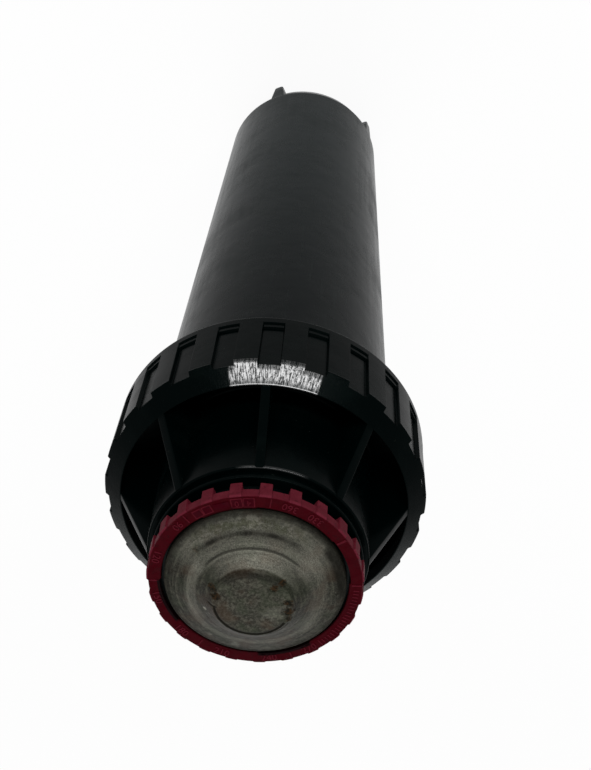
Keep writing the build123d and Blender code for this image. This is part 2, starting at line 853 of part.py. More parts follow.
def make_arc_ring():
    """Castellated ring on the distributor: flat face, inner tab, and teeth with snap hooks."""
    hook_inner = ring_skirt_inner - ring_hook
    ring = turned(
        [
            (ring_face_inner, deck_z),
            (ring_face_inner, ring_top_z),
            (ring_radius, ring_top_z),
            (ring_radius, tooth_z),
            (hook_inner, tooth_z),
            (hook_inner, tooth_z + ring_hook_height),
            (ring_skirt_inner, tooth_z + ring_hook_height),
            (ring_skirt_inner, deck_z),
        ],
        [((ring_radius, ring_top_z), ring_edge)],
    )
    gap_width = (1 - ring_tooth_share) * 2 * math.pi * ring_radius / stream_count
    half_pitch = 180.0 / stream_count
    between = bar(hook_inner - 1, ring_radius + 1, gap_width, tooth_z - 1, notch_z)
    between += bar(ring_radius - ring_tooth_relief, ring_radius + 1, gap_width, tooth_z - 1, ring_top_z + 1)
    for cutter in around(between, stream_count, ring_turn + half_pitch):
        ring -= cutter
    for start in ring_relief_starts:
        ring -= ring_bore_span(ring_face_inner - weld, ring_face_inner + ring_relief_reach, start)
    return ring + ring_bore_span(ring_face_inner - ring_tab_reach, ring_face_inner + weld, ring_tab_start)


# ------------------------------------------------------------------ write the nodes
save(make_case_shell(), "case_shell")
save(make_cap(), "cap")
save(make_cap_gasket(), "cap_gasket")
save(make_wiper_seal(), "wiper_seal")
save(make_seal_retainer(), "seal_retainer")
save(make_retraction_spring(), "retraction_spring")

save(make_riser_tube(), "riser_tube")
save(make_riser_foot(), "riser_foot")
save(make_inlet_screen(), "inlet_screen")
save(make_stator(), "stator")
save(make_gear_case(), "gear_case")
save(make_gear_case_lid(), "gear_case_lid")
save(make_shaft_seal(), "shaft_seal")
save(make_lay_pin(), "lay_pin")

save(make_turbine(), "turbine")
save(make_turbine_shaft(), "turbine_shaft")
save(make_drive_pinion(), "drive_pinion")

save(make_side_gear(0), "gear_one")
save(compound_gear(1, 0.0, 0.0), "gear_two")
save(make_side_gear(2), "gear_three")

save(make_output_gear(), "output_gear")
save(make_output_shaft(), "output_shaft")
save(make_turret(), "turret")
save(make_turret_seal(), "turret_seal")
save(make_distributor(), "distributor")
save(make_turret_screw(), "turret_screw")
save(make_cover(), "cover")

save(make_arc_ring(), "arc_ring")
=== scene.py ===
import math

import bpy
import numpy as np
from mathutils import Matrix, Vector


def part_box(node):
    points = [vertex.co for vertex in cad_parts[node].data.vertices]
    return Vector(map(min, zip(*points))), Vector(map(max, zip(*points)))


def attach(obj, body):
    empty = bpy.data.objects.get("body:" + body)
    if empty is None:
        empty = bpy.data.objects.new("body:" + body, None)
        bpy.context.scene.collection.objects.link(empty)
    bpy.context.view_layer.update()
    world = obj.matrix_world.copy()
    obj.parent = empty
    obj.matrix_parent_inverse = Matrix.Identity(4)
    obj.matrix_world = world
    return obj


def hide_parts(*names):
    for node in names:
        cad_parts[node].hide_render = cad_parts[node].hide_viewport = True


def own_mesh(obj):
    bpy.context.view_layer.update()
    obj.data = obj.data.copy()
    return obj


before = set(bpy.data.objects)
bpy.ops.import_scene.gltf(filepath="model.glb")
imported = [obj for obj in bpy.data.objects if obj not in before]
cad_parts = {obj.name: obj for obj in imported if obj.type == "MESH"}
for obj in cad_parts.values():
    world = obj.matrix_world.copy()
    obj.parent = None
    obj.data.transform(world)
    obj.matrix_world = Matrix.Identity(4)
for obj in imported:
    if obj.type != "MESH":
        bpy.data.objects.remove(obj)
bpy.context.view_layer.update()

# A pop-up sprinkler, dressed over its CAD frame. Lengths are in millimetres and are
# multiplied by MM on their way into a mesh. The sprinkler's axis is Z.
MM = 0.001


def low(node):
    """Lowest corner of a CAD node, in millimetres."""
    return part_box(node)[0] / MM


def high(node):
    """Highest corner of a CAD node, in millimetres."""
    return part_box(node)[1] / MM


# ------------------------------------------------------------------ sizes
# The heights and the spring's radius come from the frame's own boxes.
SKIRT_BACK_Z = low("cap").z
COLLAR_Z = high("cap").z
CASE_RIM_Z = high("case_shell").z
RISER_BOTTOM_Z = low("riser_tube").z
FLANGE_Z = high("riser_tube").z
RING_Z = high("arc_ring").z
TOOTH_Z = low("arc_ring").z
DECK_Z = high("distributor").z
COVER_FOOT_Z = low("cover").z
SPRING_LOW_Z = low("retraction_spring").z
SPRING_HIGH_Z = high("retraction_spring").z
SPRING_RADIUS = high("retraction_spring").x

# Case
SHOULDER_Z = 14.0
CASE_FLOOR_Z = 17.0
THREAD_Z = CASE_RIM_Z - 10.0
BOSS_RADIUS = 19.5
INLET_RADIUS = 15.6
SHOULDER_RADIUS = 27.1
NECK_RADIUS = 34.7
THREAD_RADIUS = 38.4
CASE_WALL = 2.6
SKIRTING_Z = 8.5
SKIRTING_RADIUS = SHOULDER_RADIUS - 1.9
SKIRTING_WALL = 2.4
LUGS = 4
LUG_START = -66.5
LUG_DROP = 10.5
LUG_WIDTH = 6.0
LUG_INNER = INLET_RADIUS + 0.4 * (BOSS_RADIUS - INLET_RADIUS)
LUG_OUTER = SHOULDER_RADIUS - 0.3
LUG_LEAN = math.tan(math.radians(7.0))
LUG_OUTER_SHARE = 0.3
LUG_TIP_EASE = 0.35
LUG_SQUARENESS = 0.22
LUG_STEPS = 48

# Cap
LIP_Z = SKIRT_BACK_Z + 22.8
LIP_RADIUS = 45.0
SKIRT_BACK_RADIUS = 44.1
LIP_WIDTH = 5.2
LIP_RISE = 5.2
LIP_BORE = LIP_RADIUS - LIP_WIDTH
FLOOR_Z = CASE_RIM_Z + 0.3
FLOOR_TOP_Z = FLOOR_Z + 3.0
COLLAR_RADIUS = 29.7
COLLAR_BORE = 27.2
GUIDE_BORE = 20.35
WIPER_BORE = 24.65
WEB_Z = FLOOR_Z + 6.3
WEB_TOP_Z = WEB_Z + 3.0
CAP_BORE = 38.8
GUSSETS = 8
GUSSET_THICKNESS = 2.5
GUSSET_EASE = 0.45
GRIPS = 22
GRIP_TURN = -90.7
GRIP_WIDTH = 6.0
GRIP_HALF_TURN = math.degrees(GRIP_WIDTH / 2 / LIP_RADIUS)
GRIP_DEPTH = 1.1
GRIP_START = 3.0
GRIP_LEDGE_DEPTH = 0.45
GRIP_LEDGE_LENGTH = 1.9
GRIP_RAMP = 0.13

# Riser
RISER_RADIUS = 20.0
RISER_BORE = 17.2
MODULE_BORE = 18.0
STATOR_Z = 186.0
HEAD_FLOOR_Z = 229.0
HEAD_RADIUS = 26.7
HEAD_BORE = 24.7
FLANGE_RADIUS = 28.2

# Retraction spring
SPRING_TURNS = 10
SPRING_WIRE = 1.6
SPRING_EASE = 0.25
SPRING_STEPS = 48

# Arc ring
RING_RADIUS = 28.6
RING_BORE = 24.6
RING_SKIRT_BORE = 26.8
HOOK_BORE = 26.1
HOOK_HEIGHT = 0.6
NOTCH_Z = RING_Z - 3.1
TEETH = 23
TOOTH_SHARE = 0.42
TOOTH_TURN = -94.7
TOOTH_RELIEF = 0.45
TAB_REACH = 0.4
TAB_START = -90.0
TAB_WIDTH = 34.0
RELIEF_REACH = 0.6
RELIEF_STARTS = (2.0, 92.5, 183.0)

# Cover
COVER_RADIUS = 23.9
COVER_SHEET = 0.8
COVER_RIM_Z = DECK_Z + 2.7
STEP_RADIUS = 15.4
STEP_Z = COVER_RIM_Z + 4.0
TOP_RADIUS = 10.4
TOP_Z = COVER_RIM_Z + 8.3
CROWN_Z = TOP_Z + 0.6
CROWN_CREASE = 10.0
OUTER_CREASE = CROWN_CREASE + 1.1
STEP_CREASE = STEP_RADIUS - 0.1
# Each crease: radius, depth, width, first turn and sweep.
COVER_CREASES = (
    (CROWN_CREASE, 0.26, 0.26, 9.0, 137.0), (OUTER_CREASE, 0.2, 0.22, 110.0, 36.0),
    (STEP_CREASE, 0.16, 0.3, -138.0, 100.0),
)
# A short line slants over the radius where the crown's crease starts.
START_LINE_TURN = 33.5
START_LINE_SLANT = 2.7
START_LINE_DEPTH = 0.24
START_LINE_WIDTH = 0.24
# Each dent: x, y, depth and reach.
COVER_DENTS = (
    (12.6, 4.4, 0.18, 1.0), (9.6, -3.4, 0.18, 1.1), (-6.4, -6.6, 0.2, 1.2), (-9.7, 2.6, 0.15, 1.4),
    (3.0, 5.0, 0.1, 2.6), (-4.5, 16.0, 0.16, 2.4), (17.0, -5.0, 0.14, 2.2),
)

# Dial on the ring's face
FACE_MIDDLE = (RING_BORE + RING_RADIUS) / 2
FIGURE_SIZE = 2.9
FIGURE_HEIGHT = 0.2
DIAL_FIGURES = (
    (-109, "360"), (-125, "330"), (-41, "90"), (-15, "120"), (15, "150"), (43, "180"),
    (71, "210"), (99, "240"), (124, "270"),
)
# Each pad: turn, width, length, figure and whether it is framed.
DIAL_PADS = (
    (-86.0, 2.5, 2.3, "4", True), (-79.2, 2.5, 2.3, "0", True), (-70.5, 4.2, 1.7, "", False),
    (-61.8, 2.1, 1.9, "", True), (-55.8, 2.1, 1.9, "", True),
)
PAD_RADIUS = FACE_MIDDLE - 0.35
PAD_HEIGHT = 0.16
PAD_FRAME = 0.28
PAD_FRAME_HEIGHT = 0.10
PAD_FIGURE_SIZE = 2.4
PAD_FIGURE_HEIGHT = 0.3
# Each line: turn and width.
DIAL_LINES = (
    (2.5, 0.35), (-146.0, 0.6), (-178.5, 0.4), (-48.0, 0.3), (57.0, 0.3), (112.0, 0.3), (-98.0, 0.3),
)
DIAL_LINE_LENGTH = RING_RADIUS - RING_BORE - 1.4
DIAL_LINE_HEIGHT = 0.18
GRADUATIONS = 20
GRADUATION_TURN = 132.0
GRADUATION_STEP = 2.4
GRADUATION_WIDTH = 0.26
GRADUATION_LENGTHS = (2.1, 1.5, 1.5, 1.5, 1.5)
GRADUATION_HEIGHT = 0.15

# Meshing: a side longer than GUARDED_LENGTH gets a point at GUARD from each end. The edge of a pocket
# or a tooth is a ramp PATTERN_RAMP degrees wide, that of a tab, a relief or a crease SPAN_RAMP.
GUARDED_LENGTH = 1.6
GUARD = 0.1
PATTERN_RAMP = 0.5
SPAN_RAMP = 0.6


# ------------------------------------------------------------------ meshes
def put_mesh(name, vertices, faces, sharp=40.0):
    """Object from millimetre vertices. A closed shell is turned so that its volume is positive."""
    vertices = np.asarray(vertices, float)
    triangles = np.array([(f[0], f[k], f[k + 1]) for f in faces for k in range(1, len(f) - 1)])
    a, b, c = vertices[triangles[:, 0]], vertices[triangles[:, 1]], vertices[triangles[:, 2]]
    if np.einsum("ij,ij->i", a, np.cross(b, c)).sum() < 0:
        faces = [tuple(reversed(f)) for f in faces]
    mesh = bpy.data.meshes.new(name)
    mesh.from_pydata((vertices * MM).tolist(), [], [tuple(map(int, f)) for f in faces])
    mesh.validate()
    mesh.shade_smooth()
    mesh.set_sharp_from_angle(angle=math.radians(sharp))
    piece = bpy.data.objects.new(name, mesh)
    bpy.context.scene.collection.objects.link(piece)
    return piece


def loop_faces(rows, columns, wrap_rows=True, wrap_columns=True):
    """Quads of a grid of points, stored row by row, closed on itself where asked."""
    last_row = rows if wrap_rows else rows - 1
    last_column = columns if wrap_columns else columns - 1
    i, j = np.meshgrid(np.arange(last_row), np.arange(last_column), indexing="ij")
    i, j = i.ravel(), j.ravel()
    i_next, j_next = (i + 1) % rows, (j + 1) % columns
    quads = np.stack([
        i * columns + j, i_next * columns + j, i_next * columns + j_next, i * columns + j_next,
    ], 1)
    return quads.tolist()


def with_ends(faces, points, columns):
    """Faces of an open tube with its first and last loops of points closed."""
    first = list(range(columns))
    last = list(range(points - 1, points - columns - 1, -1))
    return faces + [first, last]


def welded(points, faces):
    """Points that share a place made one. Faces that fold flat by it, or onto each other, are dropped."""
    _, first, index = np.unique(np.round(points, 5), axis=0, return_index=True, return_inverse=True)
    corners = [index.ravel()[list(face)] for face in faces]
    corners = [row[row != np.roll(row, 1)].tolist() for row in corners]
    corners = [row for row in corners if len(set(row)) == len(row) > 2]
    seen = {}
    for row in corners:
        key = tuple(sorted(row))
        seen[key] = seen.get(key, 0) + 1
    return points[first], [row for row in corners if seen[tuple(sorted(row))] == 1]


def carried_round(r, z, angle):
    """Grid of points round the axis: x = r cos a, y = r sin a, z = height, with the angle in radians."""
    x, y = r * np.cos(angle), r * np.sin(angle)
    return np.stack([x, y, np.broadcast_to(z, x.shape)], -1)


def spun(points, angle):
    """Points turned round the axis by an angle in radians."""
    c, s = math.cos(angle), math.sin(angle)
    return points @ np.array([[c, -s, 0], [s, c, 0], [0, 0, 1]]).T


def rounded(outline, steps=5):
    """Closed outline of (radius, height, fillet) corners as points, each fillet an arc of a few steps.

    The arc touches both sides at fillet times the tangent of half the turn from the corner.
    """
    outline = np.array(outline, float)
    points = []
    for k, (r, z, fillet) in enumerate(outline):
        here = np.array([r, z])
        if fillet == 0:
            points.append(here)
            continue
        back = outline[k - 1, :2] - here
        ahead = outline[(k + 1) % len(outline), :2] - here
        back, ahead = back / np.linalg.norm(back), ahead / np.linalg.norm(ahead)
        half = math.acos(np.clip(back @ ahead, -1, 1)) / 2
        reach = fillet / math.tan(half)
        centre = here + (back + ahead) / np.linalg.norm(back + ahead) * fillet / math.sin(half)
        first, last = here + back * reach - centre, here + ahead * reach - centre
        turn = math.atan2(first[0] * last[1] - first[1] * last[0], first @ last)
        for t in np.linspace(0, turn, steps):
            points.append(centre + [first[0] * math.cos(t) - first[1] * math.sin(t),
                                    first[0] * math.sin(t) + first[1] * math.cos(t)])
    return np.array(points)


def densified(outline, longest):
    """The same closed outline with extra points, so that no side is longer than a given length.

    A long side also gets a point close to each end, so that the bend of a fillet's shading stays short.
    """
    points = []
    for here, there in zip(outline, np.roll(outline, -1, axis=0)):
        length = np.linalg.norm(there - here)
        shares = np.linspace(0, 1, max(1, math.ceil(length / longest)), endpoint=False)
        if length > GUARDED_LENGTH:
            shares = np.union1d(shares, [GUARD / length, 1 - GUARD / length])
        points.append(here + shares[:, None] * (there - here))
    return np.concatenate(points)


def turned(name, outline, turns):
    """Closed outline carried once round the axis."""
    angle = np.linspace(0, 2 * math.pi, turns, endpoint=False)[:, None]
    points = carried_round(outline[:, 0], outline[:, 1], angle)
    return put_mesh(name, points.reshape(-1, 3), loop_faces(turns, len(outline)))


def smooth_step(x, low_edge, high_edge):
    """0 below the low edge and 1 above the high one, with an S-shaped ramp between."""
    t = np.clip((x - low_edge) / (high_edge - low_edge), 0, 1)
    return t * t * (3 - 2 * t)


def turn_samples(count, first, half_width):
    """Angles, in degrees, for a pattern of count windows, close together at the windows' edges."""
    pitch = 360.0 / count
    edge = np.linspace(-1.2, 1.2, 7) * PATTERN_RAMP / 2
    clear = 1.3 * PATTERN_RAMP / 2
    inside = np.linspace(-half_width + clear, half_width - clear, 7)
    outside = np.linspace(half_width + clear, pitch - half_width - clear, 7)
    offsets = np.unique(np.round(np.concatenate([
        inside, outside, half_width + edge, pitch - half_width + edge,
    ]), 5))
    return np.concatenate([first + k * pitch + offsets for k in range(count)])


def window_mask(angle, count, first, half_width):
    """1 inside each of count evenly spaced windows and 0 between them. Angles in degrees."""
    pitch = 360.0 / count
    offset = (angle - first + pitch / 2) % pitch - pitch / 2
    return 1 - smooth_step(np.abs(offset), half_width - PATTERN_RAMP / 2, half_width + PATTERN_RAMP / 2)


def span_mask(angle, start, width):
    """1 over a span of angles that starts at a turn and has a width, in degrees."""
    offset = (angle - start - width / 2 + 180) % 360 - 180
    return 1 - smooth_step(np.abs(offset), width / 2 - SPAN_RAMP / 2, width / 2 + SPAN_RAMP / 2)


# ------------------------------------------------------------------ case
def case_skin():
    """Tapered case as one closed outline turned round the axis."""
    slope = (NECK_RADIUS - SHOULDER_RADIUS) / (THREAD_Z - SHOULDER_Z)
    outline = rounded([
        (INLET_RADIUS, 0, 0.6),
        (BOSS_RADIUS, 0, 0.8),
        (BOSS_RADIUS, SHOULDER_Z, 0.8),
        (SKIRTING_RADIUS - SKIRTING_WALL, SHOULDER_Z, 0.5),
        (SKIRTING_RADIUS - SKIRTING_WALL, SKIRTING_Z, 0.4),
        (SKIRTING_RADIUS, SKIRTING_Z, 0.9),
        (SHOULDER_RADIUS, SHOULDER_Z, 1.5),
        (NECK_RADIUS, THREAD_Z, 0.5),
        (THREAD_RADIUS, THREAD_Z, 0.4),
        (THREAD_RADIUS, CASE_RIM_Z, 0.3),
        (SHOULDER_RADIUS - CASE_WALL + slope * (CASE_RIM_Z - SHOULDER_Z), CASE_RIM_Z, 0.3),
        (SHOULDER_RADIUS - CASE_WALL + slope * (CASE_FLOOR_Z - SHOULDER_Z), CASE_FLOOR_Z, 0),
        (INLET_RADIUS, CASE_FLOOR_Z, 0.4),
    ])
    return turned("case_skin", densified(outline, 12.0), 192)


def case_lug(number, turn):
    """Fin under the shoulder: a rounded rectangle that shrinks on its way down, least at its outer end.

    The rectangle is a power curve: a cosine and a sine, each raised to LUG_SQUARENESS with its sign kept.
    """
    depth = np.array([-0.5, 2.0, 4.5, 7.0, LUG_DROP - 0.5, LUG_DROP])
    shrink = (depth + 0.5) * LUG_LEAN + np.array([0, 0, 0, 0, 0, LUG_TIP_EASE])
    side = np.linspace(0, 2 * math.pi, LUG_STEPS, endpoint=False) + math.pi / LUG_STEPS
    cx = np.sign(np.cos(side)) * np.abs(np.cos(side)) ** LUG_SQUARENESS
    cy = np.sign(np.sin(side)) * np.abs(np.sin(side)) ** LUG_SQUARENESS
    inner_end, outer_end = LUG_INNER + shrink, LUG_OUTER - LUG_OUTER_SHARE * shrink
    x = (inner_end + outer_end)[:, None] / 2 + np.outer((outer_end - inner_end) / 2, cx)
    y = np.outer(LUG_WIDTH / 2 - shrink, cy)
    z = np.repeat((SHOULDER_Z - depth)[:, None], len(side), 1)
    points = np.stack([x, y, z], -1).reshape(-1, 3)
    faces = loop_faces(len(depth), len(side), wrap_rows=False)
    faces = with_ends(faces, len(points), len(side))
    return put_mesh(f"case_lug_{number}", spun(points, math.radians(turn)), faces, sharp=50.0)


# ------------------------------------------------------------------ cap
def skirt_wall(z):
    """Radius of the skirt's outer face at a height."""
    share = (z - SKIRT_BACK_Z) / (LIP_Z - SKIRT_BACK_Z)
    return SKIRT_BACK_RADIUS + (LIP_RADIUS - SKIRT_BACK_RADIUS) * share


def cap_skin():
    """Skirt, floor and collar in one closed outline, with the grip pockets pressed into the skirt.

    In a pocket no point lies further out than the skirt's face less the pocket's depth, and that depth
    comes in two steps, a ledge and then the floor. The lip has points where a pocket's floor meets it.
    """
    grip_z = SKIRT_BACK_Z + GRIP_START
    floor_z = grip_z + GRIP_LEDGE_LENGTH
    mouth = GRIP_DEPTH / (1 + (LIP_RADIUS - SKIRT_BACK_RADIUS) / (LIP_Z - SKIRT_BACK_Z))
    outline = rounded([
        (CAP_BORE, SKIRT_BACK_Z, 0.3),
        (SKIRT_BACK_RADIUS, SKIRT_BACK_Z, 0.7),
        *[(skirt_wall(z), z, 0) for z in (
            grip_z - 0.6, grip_z - 0.12, grip_z + 0.12, grip_z + 0.6,
            floor_z - 0.5, floor_z - 0.12, floor_z + 0.12, floor_z + 0.6,
        )],
        (LIP_RADIUS, LIP_Z, 0.4),
        *[(LIP_RADIUS - t, LIP_Z + t, 0) for t in (mouth - 0.08, mouth, mouth + 0.08)],
        (LIP_BORE, LIP_Z + LIP_RISE, 0.2),
        (LIP_BORE - 0.5, FLOOR_TOP_Z, 1.0),
        (COLLAR_RADIUS, FLOOR_TOP_Z, 1.0),
        (COLLAR_RADIUS, COLLAR_Z, 0.5),
        (COLLAR_BORE, COLLAR_Z, 0.4),
        (COLLAR_BORE, WEB_TOP_Z, 0.5),
        (GUIDE_BORE, WEB_TOP_Z, 0.4),
        (GUIDE_BORE, WEB_Z, 0),
        (WIPER_BORE, WEB_Z, 0),
        (WIPER_BORE, FLOOR_Z, 0),
        (CAP_BORE, FLOOR_Z, 0),
    ])
    outline = densified(outline, 2.2)
    angle = turn_samples(GRIPS, GRIP_TURN, GRIP_HALF_TURN)
    pocket = window_mask(angle, GRIPS, GRIP_TURN, GRIP_HALF_TURN)[:, None]
    r, z = outline[:, 0][None, :], outline[:, 1][None, :]
    on_outside = r > CAP_BORE + 0.9
    ledge = smooth_step(z, grip_z - GRIP_RAMP, grip_z + GRIP_RAMP)
    deep = smooth_step(z, floor_z - GRIP_RAMP, floor_z + GRIP_RAMP)
    depth = GRIP_LEDGE_DEPTH * ledge + (GRIP_DEPTH - GRIP_LEDGE_DEPTH) * deep
    beyond = np.clip(r - (skirt_wall(z) - depth), 0, None)
    r = r - np.where(on_outside, beyond, 0) * pocket
    points = carried_round(r, z, np.radians(angle)[:, None])
    return put_mesh("cap_skin", points.reshape(-1, 3), loop_faces(*r.shape), sharp=38.0)


def cap_gusset(number):
    """Plate from the collar to the lip: an upside-down U section whose height falls along the radius."""
    inner, outer = COLLAR_RADIUS - 1.0, LIP_BORE + 1.4
    between = np.linspace(COLLAR_RADIUS + 1, LIP_BORE - 0.5, 9)
    r = np.concatenate([[inner, COLLAR_RADIUS], between, [LIP_BORE, outer]])
    fall = (COLLAR_Z - LIP_Z - LIP_RISE) / (LIP_BORE - COLLAR_RADIUS)
    top = COLLAR_Z - fall * (r - COLLAR_RADIUS) - 0.05
    top[0] = COLLAR_Z - 0.6
    top[-1] = LIP_Z + LIP_RISE - (outer - LIP_BORE) - 0.5
    half, edge = GUSSET_THICKNESS / 2, GUSSET_EASE
    bend = np.linspace(0, math.pi / 2, 4)
    side = np.concatenate([
        [half], half - edge + edge * np.cos(bend), -(half - edge) - edge * np.sin(bend), [-half],
    ])
    drop = np.concatenate([[1.0], edge - edge * np.sin(bend), edge - edge * np.cos(bend), [1.0]])
    is_foot = np.concatenate([[1.0], np.zeros(len(side) - 2), [1.0]])
    base = FLOOR_TOP_Z - 1.0
    z = np.where(is_foot, base, top[:, None] - drop)
    x = np.repeat(r[:, None], len(side), 1)
    y = np.broadcast_to(side, x.shape)
    points = np.stack([x, y, z], -1).reshape(-1, 3)
    faces = loop_faces(len(r), len(side), wrap_rows=False)
    faces = with_ends(faces, len(points), len(side))
    return put_mesh(f"cap_gusset_{number}", spun(points, 2 * math.pi * number / GUSSETS), faces, sharp=50.0)


# ------------------------------------------------------------------ riser
def riser_skin():
    """Slide tube with its flared head and flange, as one closed outline."""
    outline = rounded([
        (RISER_BORE, RISER_BOTTOM_Z, 0.3),
        (RISER_RADIUS, RISER_BOTTOM_Z, 0.3),
        (RISER_RADIUS, HEAD_FLOOR_Z - 5.5, 2.0),
        (HEAD_RADIUS, HEAD_FLOOR_Z - 1.5, 1.5),
        (HEAD_RADIUS, COLLAR_Z, 0.1),
        (FLANGE_RADIUS, COLLAR_Z, 0.3),
        (FLANGE_RADIUS, FLANGE_Z, 0.5),
        (HEAD_BORE, FLANGE_Z, 0.3),
        (HEAD_BORE, HEAD_FLOOR_Z, 0.5),
        (MODULE_BORE, HEAD_FLOOR_Z, 0.2),
        (MODULE_BORE, STATOR_Z, 0),
        (RISER_BORE, STATOR_Z, 0),
    ])
    return turned("riser_skin", densified(outline, 12.0), 160)


# ------------------------------------------------------------------ retraction spring
def spring_coil():
    """Square wire with eased corners carried up a helix that turns and rises evenly.

    The wire's section leans by the angle whose tangent is the rise over the way round, so that it
    stands square to the wire.
    """
    half, ease = SPRING_WIRE / 2, SPRING_EASE
    turn = np.linspace(0.0, 2 * math.pi * SPRING_TURNS, SPRING_TURNS * SPRING_STEPS + 1)
    z = np.linspace(SPRING_LOW_Z + half, SPRING_HIGH_Z - half, len(turn))
    radius = SPRING_RADIUS - half
    lean = math.atan((z[-1] - z[0]) / (turn[-1] * radius))
    across = np.array([half, half, half - ease, ease - half, -half, -half, ease - half, half - ease])
    up = np.array([ease - half, half - ease, half, half, half - ease, ease - half, -half, -half])
    out = radius + across[None, :]
    side = math.sin(lean) * up[None, :]
    c, s = np.cos(turn)[:, None], np.sin(turn)[:, None]
    x, y = out * c + side * s, out * s - side * c
    z = z[:, None] + math.cos(lean) * up[None, :]
    vertices = np.stack([x, y, z], axis=-1).reshape(-1, 3)
    faces = loop_faces(len(turn), len(up), wrap_rows=False)
    return put_mesh("spring_coil", vertices, with_ends(faces, len(vertices), len(up)))


# ------------------------------------------------------------------ arc ring
def ring_skin():
    """Castellated ring: below the notches the outline only reaches down where there is a tooth.

    The wall stands back a little between the teeth, and the bore has one inward tab and three reliefs.
    Where a tooth's foot rises above its hook, the hook draws back into the wall.
    """
    outline = rounded([
        (RING_BORE, DECK_Z, 0.2),
        (RING_BORE, RING_Z, 0.35),
        (RING_RADIUS, RING_Z, 0.55),
        (RING_RADIUS, TOOTH_Z, 0.25),
        (HOOK_BORE, TOOTH_Z, 0.2),
        (HOOK_BORE, TOOTH_Z + HOOK_HEIGHT, 0.2),
        (RING_SKIRT_BORE, TOOTH_Z + HOOK_HEIGHT, 0),
        (RING_SKIRT_BORE, DECK_Z, 0),
    ])
    outline = densified(outline, 0.9)
    half = 180.0 / TEETH * TOOTH_SHARE
    angle = turn_samples(TEETH, TOOTH_TURN, half)
    tooth = window_mask(angle, TEETH, TOOTH_TURN, half)[:, None]
    r, z = outline[:, 0][None, :], outline[:, 1][None, :]
    lowest = NOTCH_Z + (TOOTH_Z - NOTCH_Z) * tooth
    z = np.maximum(z, lowest)
    hook = smooth_step(tooth, 1 - HOOK_HEIGHT / (NOTCH_Z - TOOTH_Z), 1.0)
    is_hook = (r < RING_SKIRT_BORE) & (outline[:, 1] < DECK_Z - 0.5)
    r = np.where(is_hook, r + (RING_SKIRT_BORE - r) * (1 - hook), r)
    r = r - TOOTH_RELIEF * (1 - tooth) * smooth_step(outline[:, 0], RING_RADIUS - 0.6, RING_RADIUS - 0.1)
    at_bore = (1 - smooth_step(outline[:, 0], RING_BORE, RING_BORE + 0.5)) * (outline[:, 1] > DECK_Z - 0.5)
    shift = -TAB_REACH * span_mask(angle, TAB_START, TAB_WIDTH)
    for start in RELIEF_STARTS:
        shift = shift + RELIEF_REACH * span_mask(angle, start, TAB_WIDTH)
    r = r + shift[:, None] * at_bore
    points = carried_round(r, z, np.radians(angle)[:, None])
    return put_mesh("ring_skin", *welded(points.reshape(-1, 3), loop_faces(*r.shape)), sharp=38.0)


# ------------------------------------------------------------------ cover
def cover_skin():
    """Pressed dome: the outline goes from the crown out to the edge and back under the sheet."""
    outside = [
        (STEP_RADIUS - 0.25, STEP_Z, 2.5),
        (COVER_RADIUS, COVER_RIM_Z, 1.3),
        (COVER_RADIUS, COVER_FOOT_Z, 0.2),
        (COVER_RADIUS - COVER_SHEET, COVER_FOOT_Z, 0.2),
    ]
    closed = rounded([(0, CROWN_Z, 0), (TOP_RADIUS, TOP_Z, 1.0)] + outside + [
        (COVER_RADIUS - COVER_SHEET, COVER_RIM_Z - COVER_SHEET, 0.8),
        (TOP_RADIUS - 0.3, TOP_Z - COVER_SHEET, 0.8),
        (0, CROWN_Z - COVER_SHEET, 0),
    ], steps=8)
    outline = densified(closed, 0.6)
    start = int(np.argmin(np.abs(outline[:, 0]) + np.abs(outline[:, 1] - CROWN_Z)))
    outline = np.roll(outline, -start, axis=0)
    end = int(np.argmin(np.abs(outline[:, 0]) + np.abs(outline[:, 1] - (CROWN_Z - COVER_SHEET))))
    outline = outline[: end + 1]
    turns = 240
    angle = np.linspace(0, 2 * math.pi, turns, endpoint=False)[:, None]
    r = np.broadcast_to(outline[1:-1, 0], (turns, len(outline) - 2))
    z = np.broadcast_to(outline[1:-1, 1], r.shape)
    outer = z > COVER_RIM_Z - 0.2
    z = z + np.where(outer, stamped_depth(r, angle), 0)
    points = carried_round(r, z, angle).reshape(-1, 3)
    faces = loop_faces(*r.shape, wrap_columns=False)
    top, bottom = len(points), len(points) + 1
    points = np.concatenate([points, [[0, 0, outline[0, 1]], [0, 0, outline[-1, 1]]]])
    first = np.arange(turns) * r.shape[1]
    last = first + r.shape[1] - 1
    faces += np.column_stack([np.full(turns, top), np.roll(first, -1), first]).tolist()
    faces += np.column_stack([np.full(turns, bottom), last, np.roll(last, -1)]).tolist()
    return put_mesh("cover_skin", points, faces, sharp=50.0)


def stamped_depth(r, angle):
    """Height change of the cover's skin: part-circle creases round the crown and slow, shallow dents.

    A crease is minus its depth times exp(-(distance / width) squared), held to a span of turns.
    """
    turn = np.degrees(angle)
    creases = 0.0
    for at, depth, width, start, sweep in COVER_CREASES:
        creases = creases - depth * np.exp(-(((r - at) / width) ** 2)) * span_mask(turn, start, sweep)
    off_line = (turn - (START_LINE_TURN - START_LINE_SLANT * r)) * np.radians(1) * r
    start_line = -START_LINE_DEPTH * np.exp(-((off_line / START_LINE_WIDTH) ** 2))
    start_line = start_line * smooth_step(r, 9.4, 9.8) * (1 - smooth_step(r, 11.3, 11.7))
    pits = 0.0
    for x, y, depth, reach in COVER_DENTS:
        away = (r * np.cos(angle) - x) ** 2 + (r * np.sin(angle) - y) ** 2
        pits = pits - depth * np.exp(-away / reach ** 2)
    swells = 0.06 * np.sin(3 * angle + 0.4 * r) * np.sin(0.45 * r + 1.0) * smooth_step(r, 1, 5)
    return creases + start_line + pits + swells


